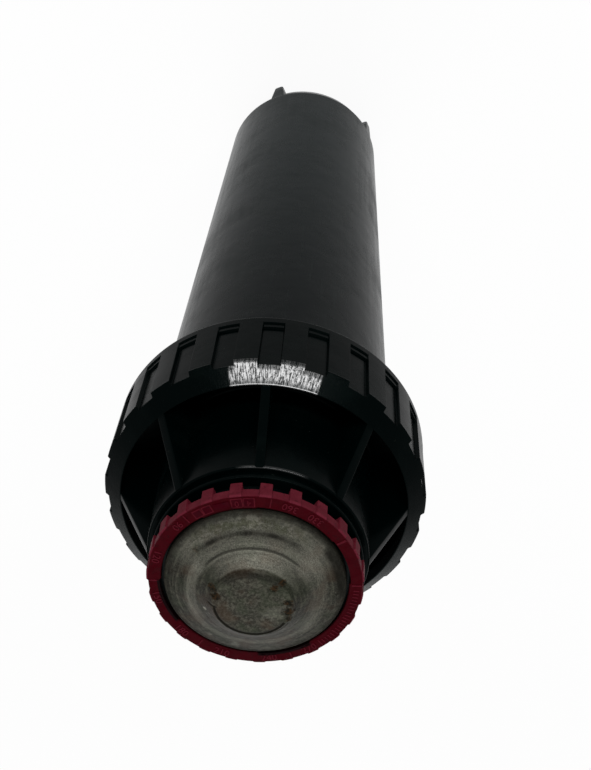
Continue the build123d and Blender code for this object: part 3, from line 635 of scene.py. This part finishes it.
# ------------------------------------------------------------------ dial on the ring
def ring_bar(name, width, length, turn, radius, height):
    """Flat bar laid on the ring's face, its length along the radius, standing a height proud of it."""
    a = math.radians(turn)
    out = np.array([math.cos(a), math.sin(a)])
    side = np.array([-math.sin(a), math.cos(a)])
    x = np.array([-1.0, 1.0, 1.0, -1.0]) * width / 2
    y = np.array([-1.0, -1.0, 1.0, 1.0]) * length / 2
    flat = np.outer(radius + y, out) + np.outer(x, side)
    low_ring = np.column_stack([flat, np.full(4, RING_Z - 0.2)])
    high_ring = np.column_stack([flat, np.full(4, RING_Z + height)])
    faces = [[3, 2, 1, 0], [4, 5, 6, 7]]
    faces += [[k, (k + 1) % 4, 4 + (k + 1) % 4, 4 + k] for k in range(4)]
    return put_mesh(name, np.concatenate([low_ring, high_ring]), faces, sharp=30.0)


def ring_number(name, text, turn, radius, size, height):
    """Plain raised number on the ring's face, its top towards the axis."""
    curve = bpy.data.curves.new(name, "FONT")
    curve.body = text
    curve.size = size * MM
    curve.extrude = height * MM
    curve.align_x = "CENTER"
    curve.align_y = "CENTER"
    curve.resolution_u = 3
    label = bpy.data.objects.new(name, curve)
    bpy.context.scene.collection.objects.link(label)
    bpy.context.view_layer.update()
    mesh = bpy.data.meshes.new_from_object(label.evaluated_get(bpy.context.evaluated_depsgraph_get()))
    bpy.data.objects.remove(label)
    a = math.radians(turn)
    place = Matrix.Translation((radius * MM * math.cos(a), radius * MM * math.sin(a), RING_Z * MM))
    mesh.transform(place @ Matrix.Rotation(a + math.pi / 2, 4, "Z"))
    piece = bpy.data.objects.new(name, mesh)
    bpy.context.scene.collection.objects.link(piece)
    return piece


# ------------------------------------------------------------------ shader maths
class Value:
    """A socket that takes +, - and * with numbers and with other sockets."""

    def __init__(self, graph, socket):
        self.graph = graph
        self.socket = socket

    def __add__(self, other):
        return self.graph.maths("ADD", self, other)

    def __radd__(self, other):
        return self.graph.maths("ADD", other, self)

    def __sub__(self, other):
        return self.graph.maths("SUBTRACT", self, other)

    def __rsub__(self, other):
        return self.graph.maths("SUBTRACT", other, self)

    def __mul__(self, other):
        return self.graph.maths("MULTIPLY", self, other)

    def __rmul__(self, other):
        return self.graph.maths("MULTIPLY", other, self)


class Graph:
    """A node tree that grows by one method, node."""

    def __init__(self, tree):
        self.tree = tree

    def node(self, kind, settings, inputs, output=0):
        """Add a node: its settings first, then the value or link of each named socket."""
        node = self.tree.nodes.new(kind)
        for key, value in settings.items():
            setattr(node, key, value)
        for key, value in inputs.items():
            if isinstance(value, Value):
                self.tree.links.new(value.socket, node.inputs[key])
            else:
                node.inputs[key].default_value = value
        return Value(self, node.outputs[output])

    def maths(self, operation, *values):
        """Add a maths node and give it its values in order."""
        return self.node("ShaderNodeMath", {"operation": operation}, dict(enumerate(values)))

    def backdrop_rays(self):
        """1 for the rays that show what lies behind the sprinkler: camera, mirror and glass rays."""
        kinds = ("Is Camera Ray", "Is Glossy Ray", "Is Transmission Ray")
        rays = 0.0
        for kind in kinds:
            rays = rays + self.node("ShaderNodeLightPath", {}, {}, kind)
        return self.maths("MINIMUM", rays, 1.0)


class Paint(Graph):
    """One material: its node tree, the object's own coordinates and the shader it ends in."""

    def __init__(self, name, **constants):
        self.material = bpy.data.materials.new(name)
        self.material.use_nodes = True
        super().__init__(self.material.node_tree)
        self.shader = self.tree.nodes["Principled BSDF"]
        for socket, value in constants.items():
            self.shader.inputs[socket.replace("_", " ")].default_value = value
        place = self.node("ShaderNodeTexCoord", {}, {}, "Object")
        self.place = self.node("ShaderNodeVectorMath", {"operation": "SCALE"}, {0: place, "Scale": 1 / MM})
        parts = self.tree.nodes.new("ShaderNodeSeparateXYZ")
        self.tree.links.new(self.place.socket, parts.inputs[0])
        self.x, self.y, self.z = (Value(self, parts.outputs[k]) for k in range(3))
        flat = self.vector(self.x, self.y, 0.0)
        self.radius = self.node("ShaderNodeVectorMath", {"operation": "LENGTH"}, {0: flat}, "Value")
        around = self.maths("ARCTAN2", self.y, self.x)
        self.turn = around * math.degrees(1)

    def feed(self, socket, value):
        """Link a value to one of the shader's sockets."""
        self.tree.links.new(value.socket, self.shader.inputs[socket])

    def noise(self, scale, detail=4.0, roughness=0.5, vector=None, distortion=0.0):
        """Soft noise around 0.5, with a number of lumps per millimetre."""
        return self.node("ShaderNodeTexNoise", {}, {
            "Vector": vector or self.place, "Scale": scale,
            "Detail": detail, "Roughness": roughness, "Distortion": distortion,
        })

    def vector(self, x, y, z):
        """Vector from three values."""
        return self.node("ShaderNodeCombineXYZ", {}, {0: x, 1: y, 2: z})

    def ramp(self, value, start, end, low_value=0.0, high_value=1.0):
        """Smoothly map a value between two limits to another range, held outside them."""
        return self.node("ShaderNodeMapRange", {"interpolation_type": "SMOOTHSTEP"}, {
            "Value": value, "From Min": start, "From Max": end, "To Min": low_value, "To Max": high_value,
        })

    def wrapped(self, value, half):
        """A value brought between minus a half and a half by whole steps of twice the half."""
        return self.maths("WRAP", value, half, -half)

    def band(self, value, centre, half_width, soft):
        """1 within a half width of a centre, fading to 0 over a soft edge."""
        away = self.maths("ABSOLUTE", value - centre)
        return 1 - self.ramp(away, half_width, half_width + soft)

    def span(self, centre, half_width, soft):
        """1 within a half width, in degrees, of a turn round the axis, fading over a soft edge."""
        return self.band(self.wrapped(self.turn - centre, 180.0), 0.0, half_width, soft)

    def far_side(self):
        """1 on the far side, which keeps the plastic's paler black, 0 on the near side, whose darker black
        is painted shade.
        """
        return 1 - self.span(-90.0, 88.0, 35.0)

    def blot(self, x, y, reach, ragged):
        """1 at a point of the plan, fading to 0 at a reach, with a ragged border."""
        offset = self.vector(self.x - x, self.y - y, 0.0)
        away = self.node("ShaderNodeVectorMath", {"operation": "LENGTH"}, {0: offset}, "Value")
        return 1 - self.ramp(away + (ragged - 0.5) * (2.2 * reach), reach * 0.45, reach)

    def mix(self, factor, first, second):
        """Blend of two colours."""
        return self.node("ShaderNodeMix", {"data_type": "RGBA"}, {"Factor": factor, 6: first, 7: second}, 2)

    def bump(self, height, strength):
        """Link a height in millimetres to the shader's normal."""
        normal = self.node("ShaderNodeBump", {}, {"Height": height, "Distance": MM, "Strength": strength})
        self.feed("Normal", normal)


def colour(red, green, blue):
    """Colour written as screen values from 0 to 255, made linear."""
    def linear(value):
        share = value / 255
        return share / 12.92 if share <= 0.04045 else ((share + 0.055) / 1.055) ** 2.4
    return (linear(red), linear(green), linear(blue), 1.0)


# ------------------------------------------------------------------ materials
COOL = (0.86, 1.0, 0.99, 1.0)
# The plastic's paler black, kept on the far side; the near side's darker black is painted shade.
UNSHADED_BLACK = (0.0097, 0.0123, 0.0123, 1.0)
UNSHADED_SHARE = 0.9
SCUFF_TURN = -93.0
SCUFF_HALF_TURN = 16.2
# Painted highlights and reflections on the cover's slopes: radius with its half width and soft edge, turn
# with its own, and strength.
STEEL_HIGHLIGHTS = (
    (13.4, 1.7, 0.5, -94.0, 30.0, 45.0, 0.2), (19.2, 3.2, 2.0, -90.0, 50.0, 30.0, 0.2),
    (17.8, 0.4, 1.2, 80.0, 50.0, 40.0, 0.12), (16.4, 0.8, 1.2, 0.0, 24.0, 16.0, 0.16),
    (17.0, 1.2, 2.4, 180.0, 30.0, 24.0, 0.1),
)
# Painted glints and light patches of the cover, and its rust blots: x, y, reach and strength.
STEEL_GLINTS = (
    (12.6, 4.4, 0.6, 0.7), (0.9, -21.5, 2.2, 0.2), (-5.3, 2.4, 3.0, 0.08), (11.8, 17.0, 0.7, 0.14),
    (4.8, 19.8, 1.4, 0.14),
)
RUST_BLOTS = (
    (10.4, -4.4, 1.7, 0.8), (9.6, -2.2, 1.5, 1.0), (-5.6, -6.1, 1.5, 1.0), (-7.6, -7.5, 1.2, 0.9),
    (-9.2, -1.4, 1.5, 1.0), (-9.6, 1.6, 1.7, 1.0), (-9.5, 4.2, 1.3, 0.7), (15.4, -11.2, 1.8, 0.3),
    (14.7, -12.7, 1.4, 0.3),
)


def black_plastic():
    """Moulded black plastic with a thin uneven film of dry soil, long faint rubs and a fine grain."""
    paint = Paint("black_plastic", IOR=1.45, Specular_IOR_Level=0.033, Specular_Tint=COOL)
    film = paint.ramp(paint.noise(0.05, 5.0, 0.6), 0.45, 0.78)
    rubs = paint.noise(0.5, 3.0, 0.6, paint.vector(paint.x, paint.y, paint.z * 0.06))
    specks = paint.ramp(paint.noise(0.9, 3.0, 0.6), 0.70, 0.75)
    # The base is painted paler at the case's foot and darker towards the head, from z 20 to z 200 mm.
    base = paint.mix(paint.ramp(paint.z, 20.0, 200.0), colour(20, 26, 27), colour(1, 4, 5))
    # Painted shade: the near side keeps a darker black than the far side.
    base = paint.mix(paint.far_side() * UNSHADED_SHARE, base, UNSHADED_BLACK)
    base = paint.mix(film * 0.4, base, colour(18, 23, 22))
    base = paint.mix(paint.ramp(rubs, 0.55, 0.8) * 0.35, base, colour(22, 27, 26))
    base = paint.mix(specks * 0.25, base, colour(66, 68, 62))
    paint.feed("Base Color", base)
    paint.feed("Roughness", 0.25 + film * 0.12 + (rubs - 0.5) * 0.2)
    paint.bump(paint.noise(4.0, 2.0) * 0.03 + paint.noise(0.12, 2.0) * 0.5, 0.25)
    return paint.material


def cap_plastic(name, wear):
    """The cap's black plastic; its sloping lip is worn into fine bright radial streaks on one side."""
    shine = {"IOR": 1.45, "Specular_IOR_Level": 0.02, "Coat_IOR": 1.5, "Coat_Roughness": 0.1}
    paint = Paint(name, Specular_Tint=COOL, **shine)
    on_lip = paint.ramp(paint.radius, LIP_BORE - 0.02, LIP_BORE + 0.06)
    on_lip = on_lip * paint.band(paint.radius + paint.z, LIP_RADIUS + LIP_Z, 0.2, 0.15)
    edge = paint.band(paint.radius, LIP_BORE + 0.2, 0.25, 0.1)
    edge = edge * paint.ramp(paint.z, FLOOR_TOP_Z + 1, FLOOR_TOP_Z + 2)
    film = paint.ramp(paint.noise(0.07, 5.0, 0.6), 0.45, 0.78)
    base = paint.mix(film * 0.5, colour(0, 3, 3), colour(5, 11, 10))
    outside = paint.ramp(paint.radius, LIP_RADIUS - 2.9, LIP_RADIUS - 2.5)
    outside = outside * (1 - paint.ramp(paint.z, LIP_Z - 0.6, LIP_Z - 0.1))
    outside = outside + paint.ramp(paint.z, LIP_Z + 0.2, LIP_Z + 1.2)
    # Painted shade: the skirt and lip keep a darker black on the near side than on the far side.
    base = paint.mix(outside * paint.far_side() * UNSHADED_SHARE, base, UNSHADED_BLACK)
    base = paint.mix(paint.ramp(paint.noise(0.8, 3.0, 0.6), 0.70, 0.76) * 0.2, base, colour(54, 57, 52))
    paint.feed("Base Color", base)
    streaks = paint.noise(1.0, 3.0, 0.75, paint.vector(paint.turn * 1.7, paint.radius * 0.5, 0.0), 0.8)
    grit = paint.noise(2.4, 3.0, 0.7)
    scuffed = paint.ramp(streaks + (grit - 0.5) * 0.35, 0.44, 0.57, 0.08, 1.0)
    scuffed = scuffed * paint.ramp(paint.radius, LIP_BORE + 0.6, LIP_BORE + 1.8, 0.35, 1.0)
    in_pocket = paint.band(paint.wrapped(paint.turn - GRIP_TURN, 180.0 / GRIPS), 0.0, GRIP_HALF_TURN, 0.2)
    pocket_floor = LIP_RADIUS - GRIP_DEPTH
    mouth = in_pocket * paint.ramp(paint.radius, pocket_floor - 1.1, pocket_floor - 0.6)
    patch = paint.span(SCUFF_TURN, SCUFF_HALF_TURN, 1.0)
    worn = (on_lip * scuffed * (1 - mouth * 0.7) + edge * 0.8) * patch
    collar_rim = paint.band(paint.radius, COLLAR_RADIUS - 0.2, 0.35, 0.15)
    collar_rim = collar_rim * paint.ramp(paint.z, COLLAR_Z - 0.8, COLLAR_Z - 0.5)
    worn = worn + collar_rim * paint.span(-97.0, 12.0, 8.0) * 0.5
    paint.feed("Coat Weight", worn * wear)
    paint.feed("Roughness", 0.23 + film * 0.12)
    paint.bump(paint.noise(0.12, 2.0) * 0.4 + on_lip * (streaks * 0.12 + grit * 0.08), 0.3)
    return paint.material


def red_paint(name, quiet, chalky, worn):
    """Dark red moulded plastic, paler and chalky where it stands proud, with random grime, and painted
    shade at its bore, where it meets the cover.
    """
    paint = Paint(name, IOR=1.47, Specular_IOR_Level=0.018)
    chalk = paint.ramp(paint.noise(0.35, 5.0, 0.65), 0.40, 0.75)
    rim = paint.ramp(paint.radius, RING_RADIUS - 0.55, RING_RADIUS - 0.25)
    rim = rim * paint.ramp(paint.z, RING_Z - 0.8, RING_Z - 0.25)
    face = paint.ramp(paint.z, RING_Z - 0.45, RING_Z - 0.1) * (1 - rim)
    side = paint.mix(chalk * 0.5, colour(76, 20, 30), chalky)
    base = paint.mix(face, side, quiet)
    base = paint.mix(face * paint.ramp(paint.noise(0.5, 4.0, 0.6), 0.45, 0.7) * 0.5, base, worn)
    base = paint.mix(rim * 0.45, base, colour(108, 40, 54))
    dirt_and_shade = paint.ramp(paint.noise(0.9, 4.0, 0.6), 0.56, 0.72) * 0.5
    # Painted shade: the face darkens next to the bore, where the gap to the cover lies.
    dirt_and_shade = dirt_and_shade + (1 - paint.ramp(paint.radius, RING_BORE + 0.1, RING_BORE + 0.6)) * 0.35
    base = paint.mix(dirt_and_shade, base, colour(26, 8, 10))
    # Painted shade: the bore's wall, and the face beside the first two reliefs, are painted near-black
    # where the gap to the cover lies in shade.
    bore = 1 - paint.ramp(paint.radius, RING_BORE + RELIEF_REACH + 0.1, RING_BORE + RELIEF_REACH + 0.3)
    bore = bore * (1 - paint.ramp(paint.z, RING_Z - 0.45, RING_Z - 0.15))
    packed_dirt_and_gap_shade = 0.0
    for start in RELIEF_STARTS[:2]:
        packed_dirt_and_gap_shade = packed_dirt_and_gap_shade + paint.span(start + TAB_WIDTH / 2, TAB_WIDTH / 2 - 1, 2.0)
    bore = bore + packed_dirt_and_gap_shade * (1 - paint.ramp(paint.radius, RING_BORE + 1.0, RING_BORE + 1.35)) * (1 - bore)
    base = paint.mix(bore * 0.95, base, colour(8, 2, 3))
    paint.feed("Base Color", base)
    paint.feed("Roughness", 0.46 + chalk * 0.2)
    paint.bump(paint.noise(1.6, 3.0) * 0.12 + paint.noise(0.3, 2.0) * 0.4, 0.35)
    return paint.material


def weathered_steel():
    """Pressed stainless gone dull: mottled film, grime, rust spots, turned streaks, painted highlights and
    glints, and painted shade in the creases, at the crown's shoulder and under the ring.
    """
    paint = Paint("weathered_steel", Specular_IOR_Level=0.06)
    mottle = paint.noise(0.16, 6.0, 0.65)
    cloud = paint.noise(0.8, 5.0, 0.7)
    fine = paint.noise(3.2, 3.0, 0.75)
    speckle = paint.noise(1.3, 2.0, 0.6, paint.vector(paint.x, paint.y + 60.0, paint.z))
    ragged = paint.noise(0.55, 4.0, 0.65)
    turned_streaks = paint.noise(1.0, 4.0, 0.65, paint.vector(paint.radius * 1.3, paint.turn * 0.035, 0.0))
    tint = paint.noise(0.15, 2.0, 0.5, paint.vector(paint.x + 40.0, paint.y, paint.z))
    base = paint.mix(paint.ramp(mottle, 0.32, 0.7), colour(32, 31, 26), colour(47, 46, 40))
    flat_top = 1 - paint.ramp(paint.radius, TOP_RADIUS - 1.2, TOP_RADIUS + 0.2)
    turned = 0.8 - flat_top * 0.65
    base = paint.mix(paint.ramp(turned_streaks, 0.50, 0.60) * turned, base, colour(70, 69, 60))
    base = paint.mix(paint.ramp(turned_streaks, 0.50, 0.40) * turned, base, colour(18, 17, 13))
    base = paint.mix(paint.ramp(cloud, 0.42, 0.62) * 0.65, base, colour(18, 17, 13))
    base = paint.mix(paint.ramp(speckle, 0.50, 0.62) * (0.3 + flat_top * 0.08), base, colour(74, 73, 64))
    base = paint.mix(flat_top * paint.ramp(speckle, 0.50, 0.38) * 0.4, base, colour(22, 21, 17))
    base = paint.mix(paint.ramp(fine, 0.50, 0.66) * 0.5, base, colour(80, 79, 70))
    base = paint.mix(paint.ramp(tint, 0.50, 0.66) * 0.5, base, colour(46, 35, 26))
    base = paint.mix(paint.ramp(tint, 0.50, 0.34) * 0.4, base, colour(37, 43, 31))
    # Painted highlights and glints: these bands and blots lighten the base colour where the cover's slopes
    # and dents catch the lamps.
    bright = 0.0
    for radius, half, soft, turn, half_turn, soft_turn, strength in STEEL_HIGHLIGHTS:
        band = paint.band(paint.radius, radius, half, soft) * paint.span(turn, half_turn, soft_turn)
        bright = bright + band * strength
    for x, y, reach, strength in STEEL_GLINTS:
        bright = bright + paint.blot(x, y, reach, ragged) * strength
    bright = bright * (0.55 + paint.ramp(fine, 0.35, 0.65) * 0.75)
    base = paint.mix(bright, base, colour(150, 149, 137))
    mossy = paint.band(paint.radius, 21.4, 0.6, 1.8) * paint.span(-84.0, 30.0, 24.0)
    base = paint.mix(mossy * paint.ramp(ragged, 0.42, 0.6) * 0.55, base, colour(38, 41, 22))
    # Painted shade: these two marks darken the step crease and the crown's shoulder on the near side.
    crease = paint.band(paint.radius, STEP_CREASE, 0.12, 0.4) * paint.span(-88.0, 44.0, 16.0)
    shoulder = paint.band(paint.radius, TOP_RADIUS - 0.4, 0.5, 1.5) * paint.span(-88.0, 42.0, 18.0)
    smudges = paint.noise(0.07, 3.0, 0.6, paint.vector(paint.turn, 0.0, 7.0))
    packed_dirt_and_gap_shade = paint.band(paint.radius + (ragged - 0.5) * 0.7, 18.8, 0.1, 0.9) * paint.span(-84.0, 34.0, 12.0)
    packed_dirt_and_gap_shade = packed_dirt_and_gap_shade * paint.ramp(smudges, 0.40, 0.60, 0.45, 1.0)
    shade = paint.band(paint.radius, 18.6, 0.8, 1.6) * paint.span(-85.0, 38.0, 22.0)
    # Painted shade along the stamped crease lines on the far side and along the short start line.
    far = paint.band(paint.radius, CROWN_CREASE, 0.2, 0.25) * paint.span(77.5, 68.0, 3.0)
    doubled = paint.band(paint.radius, OUTER_CREASE, 0.10, 0.2) * paint.span(128.0, 18.0, 4.0)
    off_line = paint.turn - (START_LINE_TURN - paint.radius * START_LINE_SLANT)
    start_line = paint.band(off_line, 0.0, 0.8, 1.2) * paint.band(paint.radius, 10.4, 1.0, 0.3)
    # Painted shade: the cover darkens towards its edge under the ring, and more at one flank.
    outer = paint.ramp(paint.radius + (cloud - 0.5) * 3.0, COVER_RADIUS - 3.2, COVER_RADIUS - 0.2)
    flank = paint.span(-163.0, 17.0, 5.0)
    # Grime (the arc and its brownish halo) and painted shade (the rest) are summed into one darkening.
    dirt_and_shade = crease * 0.65 + shoulder * 0.45 + packed_dirt_and_gap_shade * 0.6 + shade * 0.3 + outer * 0.6
    dirt_and_shade = dirt_and_shade + paint.band(paint.radius, 22.2, 0.2, 1.4) * flank * 0.5
    lines = paint.maths("MAXIMUM", far, doubled + start_line)
    dirt_and_shade = paint.ramp(dirt_and_shade + lines, 0.0, 1.0, 0.0, 0.92)
    base = paint.mix(dirt_and_shade, base, colour(16, 15, 11))
    spots = paint.noise(1.1, 4.0, 0.7)
    rust = 0.0
    for x, y, reach, strength in RUST_BLOTS:
        rust = rust + paint.blot(x, y, reach, spots) * strength
    rust = rust + paint.ramp(paint.noise(0.32, 4.0, 0.6), 0.66, 0.72) * 0.4
    rusty = paint.mix(paint.ramp(speckle, 0.45, 0.6), colour(12, 10, 4), colour(46, 31, 14))
    base = paint.mix(paint.ramp(rust, 0.0, 1.0, 0.0, 0.9), base, rusty)
    paint.feed("Base Color", base)
    # The steel is made less metallic and rougher under grime, painted shade and rust.
    dulled = paint.ramp(dirt_and_shade + rust, 0.0, 1.0)
    paint.feed("Metallic", 0.8 - dulled * 0.6)
    paint.feed("Roughness", 0.48 + (cloud - 0.5) * 0.3 + dulled * 0.25)
    paint.bump(mottle * 0.4 + cloud * 0.2 + fine * 0.1 + turned_streaks * 0.06, 0.4)
    return paint.material


def plain_finish(name, base_colour, roughness, metallic=0.0, grain=3.0):
    """Quiet finish of an inner piece: slight variation of tone and a fine grain."""
    paint = Paint(name, Metallic=metallic)
    tone = paint.noise(0.2, 3.0)
    darker = tuple(c * 0.7 for c in base_colour[:3]) + (1.0,)
    paint.feed("Base Color", paint.mix(tone, darker, base_colour))
    paint.feed("Roughness", roughness - 0.06 + tone * 0.12)
    paint.bump(paint.noise(grain, 2.0) * 0.05, 0.3)
    return paint.material


def floor_finish():
    """White floor that still shows the object's shadow: shaded surface with its own soft glow."""
    paint = Paint("floor_finish", Roughness=0.9, Base_Color=(1, 1, 1, 1), Specular_IOR_Level=0.0)
    glow = paint.node("ShaderNodeEmission", {}, {"Color": (1, 1, 1, 1), "Strength": 1.0})
    shaded = Value(paint, paint.shader.outputs[0])
    mixed = paint.node("ShaderNodeMixShader", {}, {0: paint.backdrop_rays() * 0.92, 1: shaded, 2: glow})
    output = next(n for n in paint.tree.nodes if n.type == "OUTPUT_MATERIAL")
    paint.tree.links.new(mixed.socket, output.inputs["Surface"])
    return paint.material


def cover_with(piece, material):
    """Give a piece or a CAD node its material."""
    piece.data.materials.clear()
    piece.data.materials.append(material)


# ------------------------------------------------------------------ build the pieces
def dress(piece, body, slot, material, *replaced):
    """Paint a new piece, hang it on its body and say which CAD nodes it stands for."""
    cover_with(piece, material)
    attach(piece, body)
    if replaced:
        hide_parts(*replaced)


BLACK = black_plastic()
CAP = cap_plastic("cap_plastic", 1.0)
CAP_QUIET = cap_plastic("quiet_plastic", 0.0)
RED = red_paint("red_plastic", colour(54, 0, 7), colour(96, 36, 46), colour(42, 0, 5))
PALE_RED = red_paint("proud_red", colour(80, 18, 29), colour(90, 34, 44), colour(62, 10, 19))
DARK_RED = red_paint("sunk_red", colour(52, 0, 10), colour(58, 8, 18), colour(40, 0, 8))
STEEL = weathered_steel()
RUBBER = plain_finish("rubber", colour(26, 26, 25), 0.75)
GREY = plain_finish("grey_plastic", colour(70, 71, 70), 0.5)
ACETAL = plain_finish("acetal", colour(214, 211, 200), 0.4)
BRIGHT = plain_finish("bright_steel", colour(170, 170, 168), 0.28, 1.0, 1.0)

dress(case_skin(), "case", "black_plastic", BLACK, "case_shell")
for number in range(LUGS):
    dress(case_lug(number, LUG_START + 360.0 * number / LUGS), "case", "black_plastic", BLACK)
dress(cap_skin(), "case", "black_plastic", CAP, "cap")
for number in range(GUSSETS):
    dress(cap_gusset(number), "case", "black_plastic", CAP_QUIET)
dress(riser_skin(), "riser", "black_plastic", CAP_QUIET, "riser_tube")
dress(ring_skin(), "arc_ring", "red_plastic", RED, "arc_ring")
dress(cover_skin(), "head", "stainless", STEEL, "cover")
spring = spring_coil()
dress(spring, "case", "spring_steel", BRIGHT, "retraction_spring")
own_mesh(spring)


def dress_dial():
    """Raised figures, framed pads and a row of graduations on the ring's face."""
    for turn, text in DIAL_FIGURES:
        name = f"dial_figure_{text}"
        figure = ring_number(name, text, turn, FACE_MIDDLE, FIGURE_SIZE, FIGURE_HEIGHT)
        dress(figure, "arc_ring", "red_plastic", PALE_RED)
    for k, (turn, width, length, text, framed) in enumerate(DIAL_PADS):
        layers = ((PAD_FRAME, PAD_FRAME_HEIGHT, PALE_RED),) if framed else ()
        for layer, (grow, height, material) in enumerate(layers + ((0.0, PAD_HEIGHT, DARK_RED),)):
            name = f"dial_pad_{k}_{layer}"
            pad = ring_bar(name, width + 2 * grow, length + 2 * grow, turn, PAD_RADIUS, height)
            dress(pad, "arc_ring", "red_plastic", material)
        if text:
            name = f"dial_pad_figure_{text}"
            figure = ring_number(name, text, turn, PAD_RADIUS, PAD_FIGURE_SIZE, PAD_FIGURE_HEIGHT)
            dress(figure, "arc_ring", "red_plastic", PALE_RED)
    for k, (turn, width) in enumerate(DIAL_LINES):
        line = ring_bar(f"dial_line_{k}", width, DIAL_LINE_LENGTH, turn, FACE_MIDDLE, DIAL_LINE_HEIGHT)
        dress(line, "arc_ring", "red_plastic", PALE_RED)
    for k in range(GRADUATIONS):
        length = GRADUATION_LENGTHS[k % len(GRADUATION_LENGTHS)]
        turn = GRADUATION_TURN + GRADUATION_STEP * k
        name = f"dial_graduation_{k}"
        line = ring_bar(name, GRADUATION_WIDTH, length, turn, FACE_MIDDLE, GRADUATION_HEIGHT)
        dress(line, "arc_ring", "red_plastic", PALE_RED)


dress_dial()

INNER_FINISHES = (
    (RUBBER, ("cap_gasket", "wiper_seal", "shaft_seal", "turret_seal")),
    (GREY, ("seal_retainer", "riser_foot", "inlet_screen", "gear_case", "gear_case_lid")),
    (ACETAL, ("stator", "turbine", "drive_pinion", "gear_one", "gear_two", "gear_three", "output_gear")),
    (BRIGHT, ("lay_pin", "turbine_shaft", "output_shaft", "turret_screw")),
    (BLACK, ("turret", "distributor")),
)
for material, nodes in INNER_FINISHES:
    for node in nodes:
        cover_with(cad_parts[node], material)


# ------------------------------------------------------------------ floor, lamps and camera
FILL_LEVEL = 0.35
FLOOR_HALF = 3.0
LAMP_TARGET = (0, 0, 0.225)
CAMERA_PLACE = (-21.5, -288.1, 597.1)
CAMERA_TARGET = (-7.6, -37.2, 225.0)
CAMERA_ROLL = 5.6
CAMERA_LENS = 78.55


def floor():
    """Wide flat floor under the sprinkler."""
    mesh = bpy.data.meshes.new("floor")
    half = FLOOR_HALF
    corners = [(-half, -half, 0), (half, -half, 0), (half, half, 0), (-half, half, 0)]
    mesh.from_pydata(corners, [], [(0, 1, 2, 3)])
    piece = bpy.data.objects.new("floor", mesh)
    bpy.context.scene.collection.objects.link(piece)
    piece.data.materials.append(floor_finish())


def aimed(obj, target):
    """Turn an object so that it looks at a point."""
    direction = Vector(target) - obj.location
    obj.rotation_euler = direction.to_track_quat("-Z", "Y").to_euler()


def lamp(name, place, target, size, power):
    """Rectangular soft lamp, size given as width and height in metres."""
    light = bpy.data.lights.new(name, "AREA")
    light.shape = "RECTANGLE"
    light.size, light.size_y = size
    light.energy = power
    obj = bpy.data.objects.new(name, light)
    bpy.context.scene.collection.objects.link(obj)
    obj.location = place
    aimed(obj, target)


def surroundings():
    """White to the camera and in reflections, dimmer as fill light."""
    world = bpy.data.worlds.new("surroundings")
    bpy.context.scene.world = world
    world.use_nodes = True
    graph = Graph(world.node_tree)
    background = world.node_tree.nodes["Background"]
    background.inputs["Color"].default_value = (1, 1, 1, 1)
    strength = FILL_LEVEL + graph.backdrop_rays() * (1 - FILL_LEVEL)
    world.node_tree.links.new(strength.socket, background.inputs["Strength"])


def camera():
    """Camera above and in front of the head, turned over so that the head is low in the frame."""
    data = bpy.data.cameras.new("camera")
    data.lens = CAMERA_LENS
    data.sensor_width = 36.0
    obj = bpy.data.objects.new("camera", data)
    bpy.context.scene.collection.objects.link(obj)
    place = Vector(CAMERA_PLACE) * MM
    target = Vector(CAMERA_TARGET) * MM
    ahead = (target - place).normalized()
    up = (Vector((0, 0, -1)) + ahead.z * ahead).normalized()
    up = Matrix.Rotation(math.radians(CAMERA_ROLL), 3, -ahead) @ up
    right = ahead.cross(up)
    axes = Matrix((right, up, -ahead)).transposed()
    obj.matrix_world = Matrix.Translation(place) @ axes.to_4x4()
    bpy.context.scene.camera = obj


floor()
surroundings()
lamp("window", (-0.10, -1.14, 0.99), LAMP_TARGET, (1.4, 0.15), 13.0)
lamp("sky", (0.1, 0.9, 1.4), LAMP_TARGET, (1.2, 1.2), 9.0)
camera()
bpy.context.scene.view_settings.view_transform = "Standard"
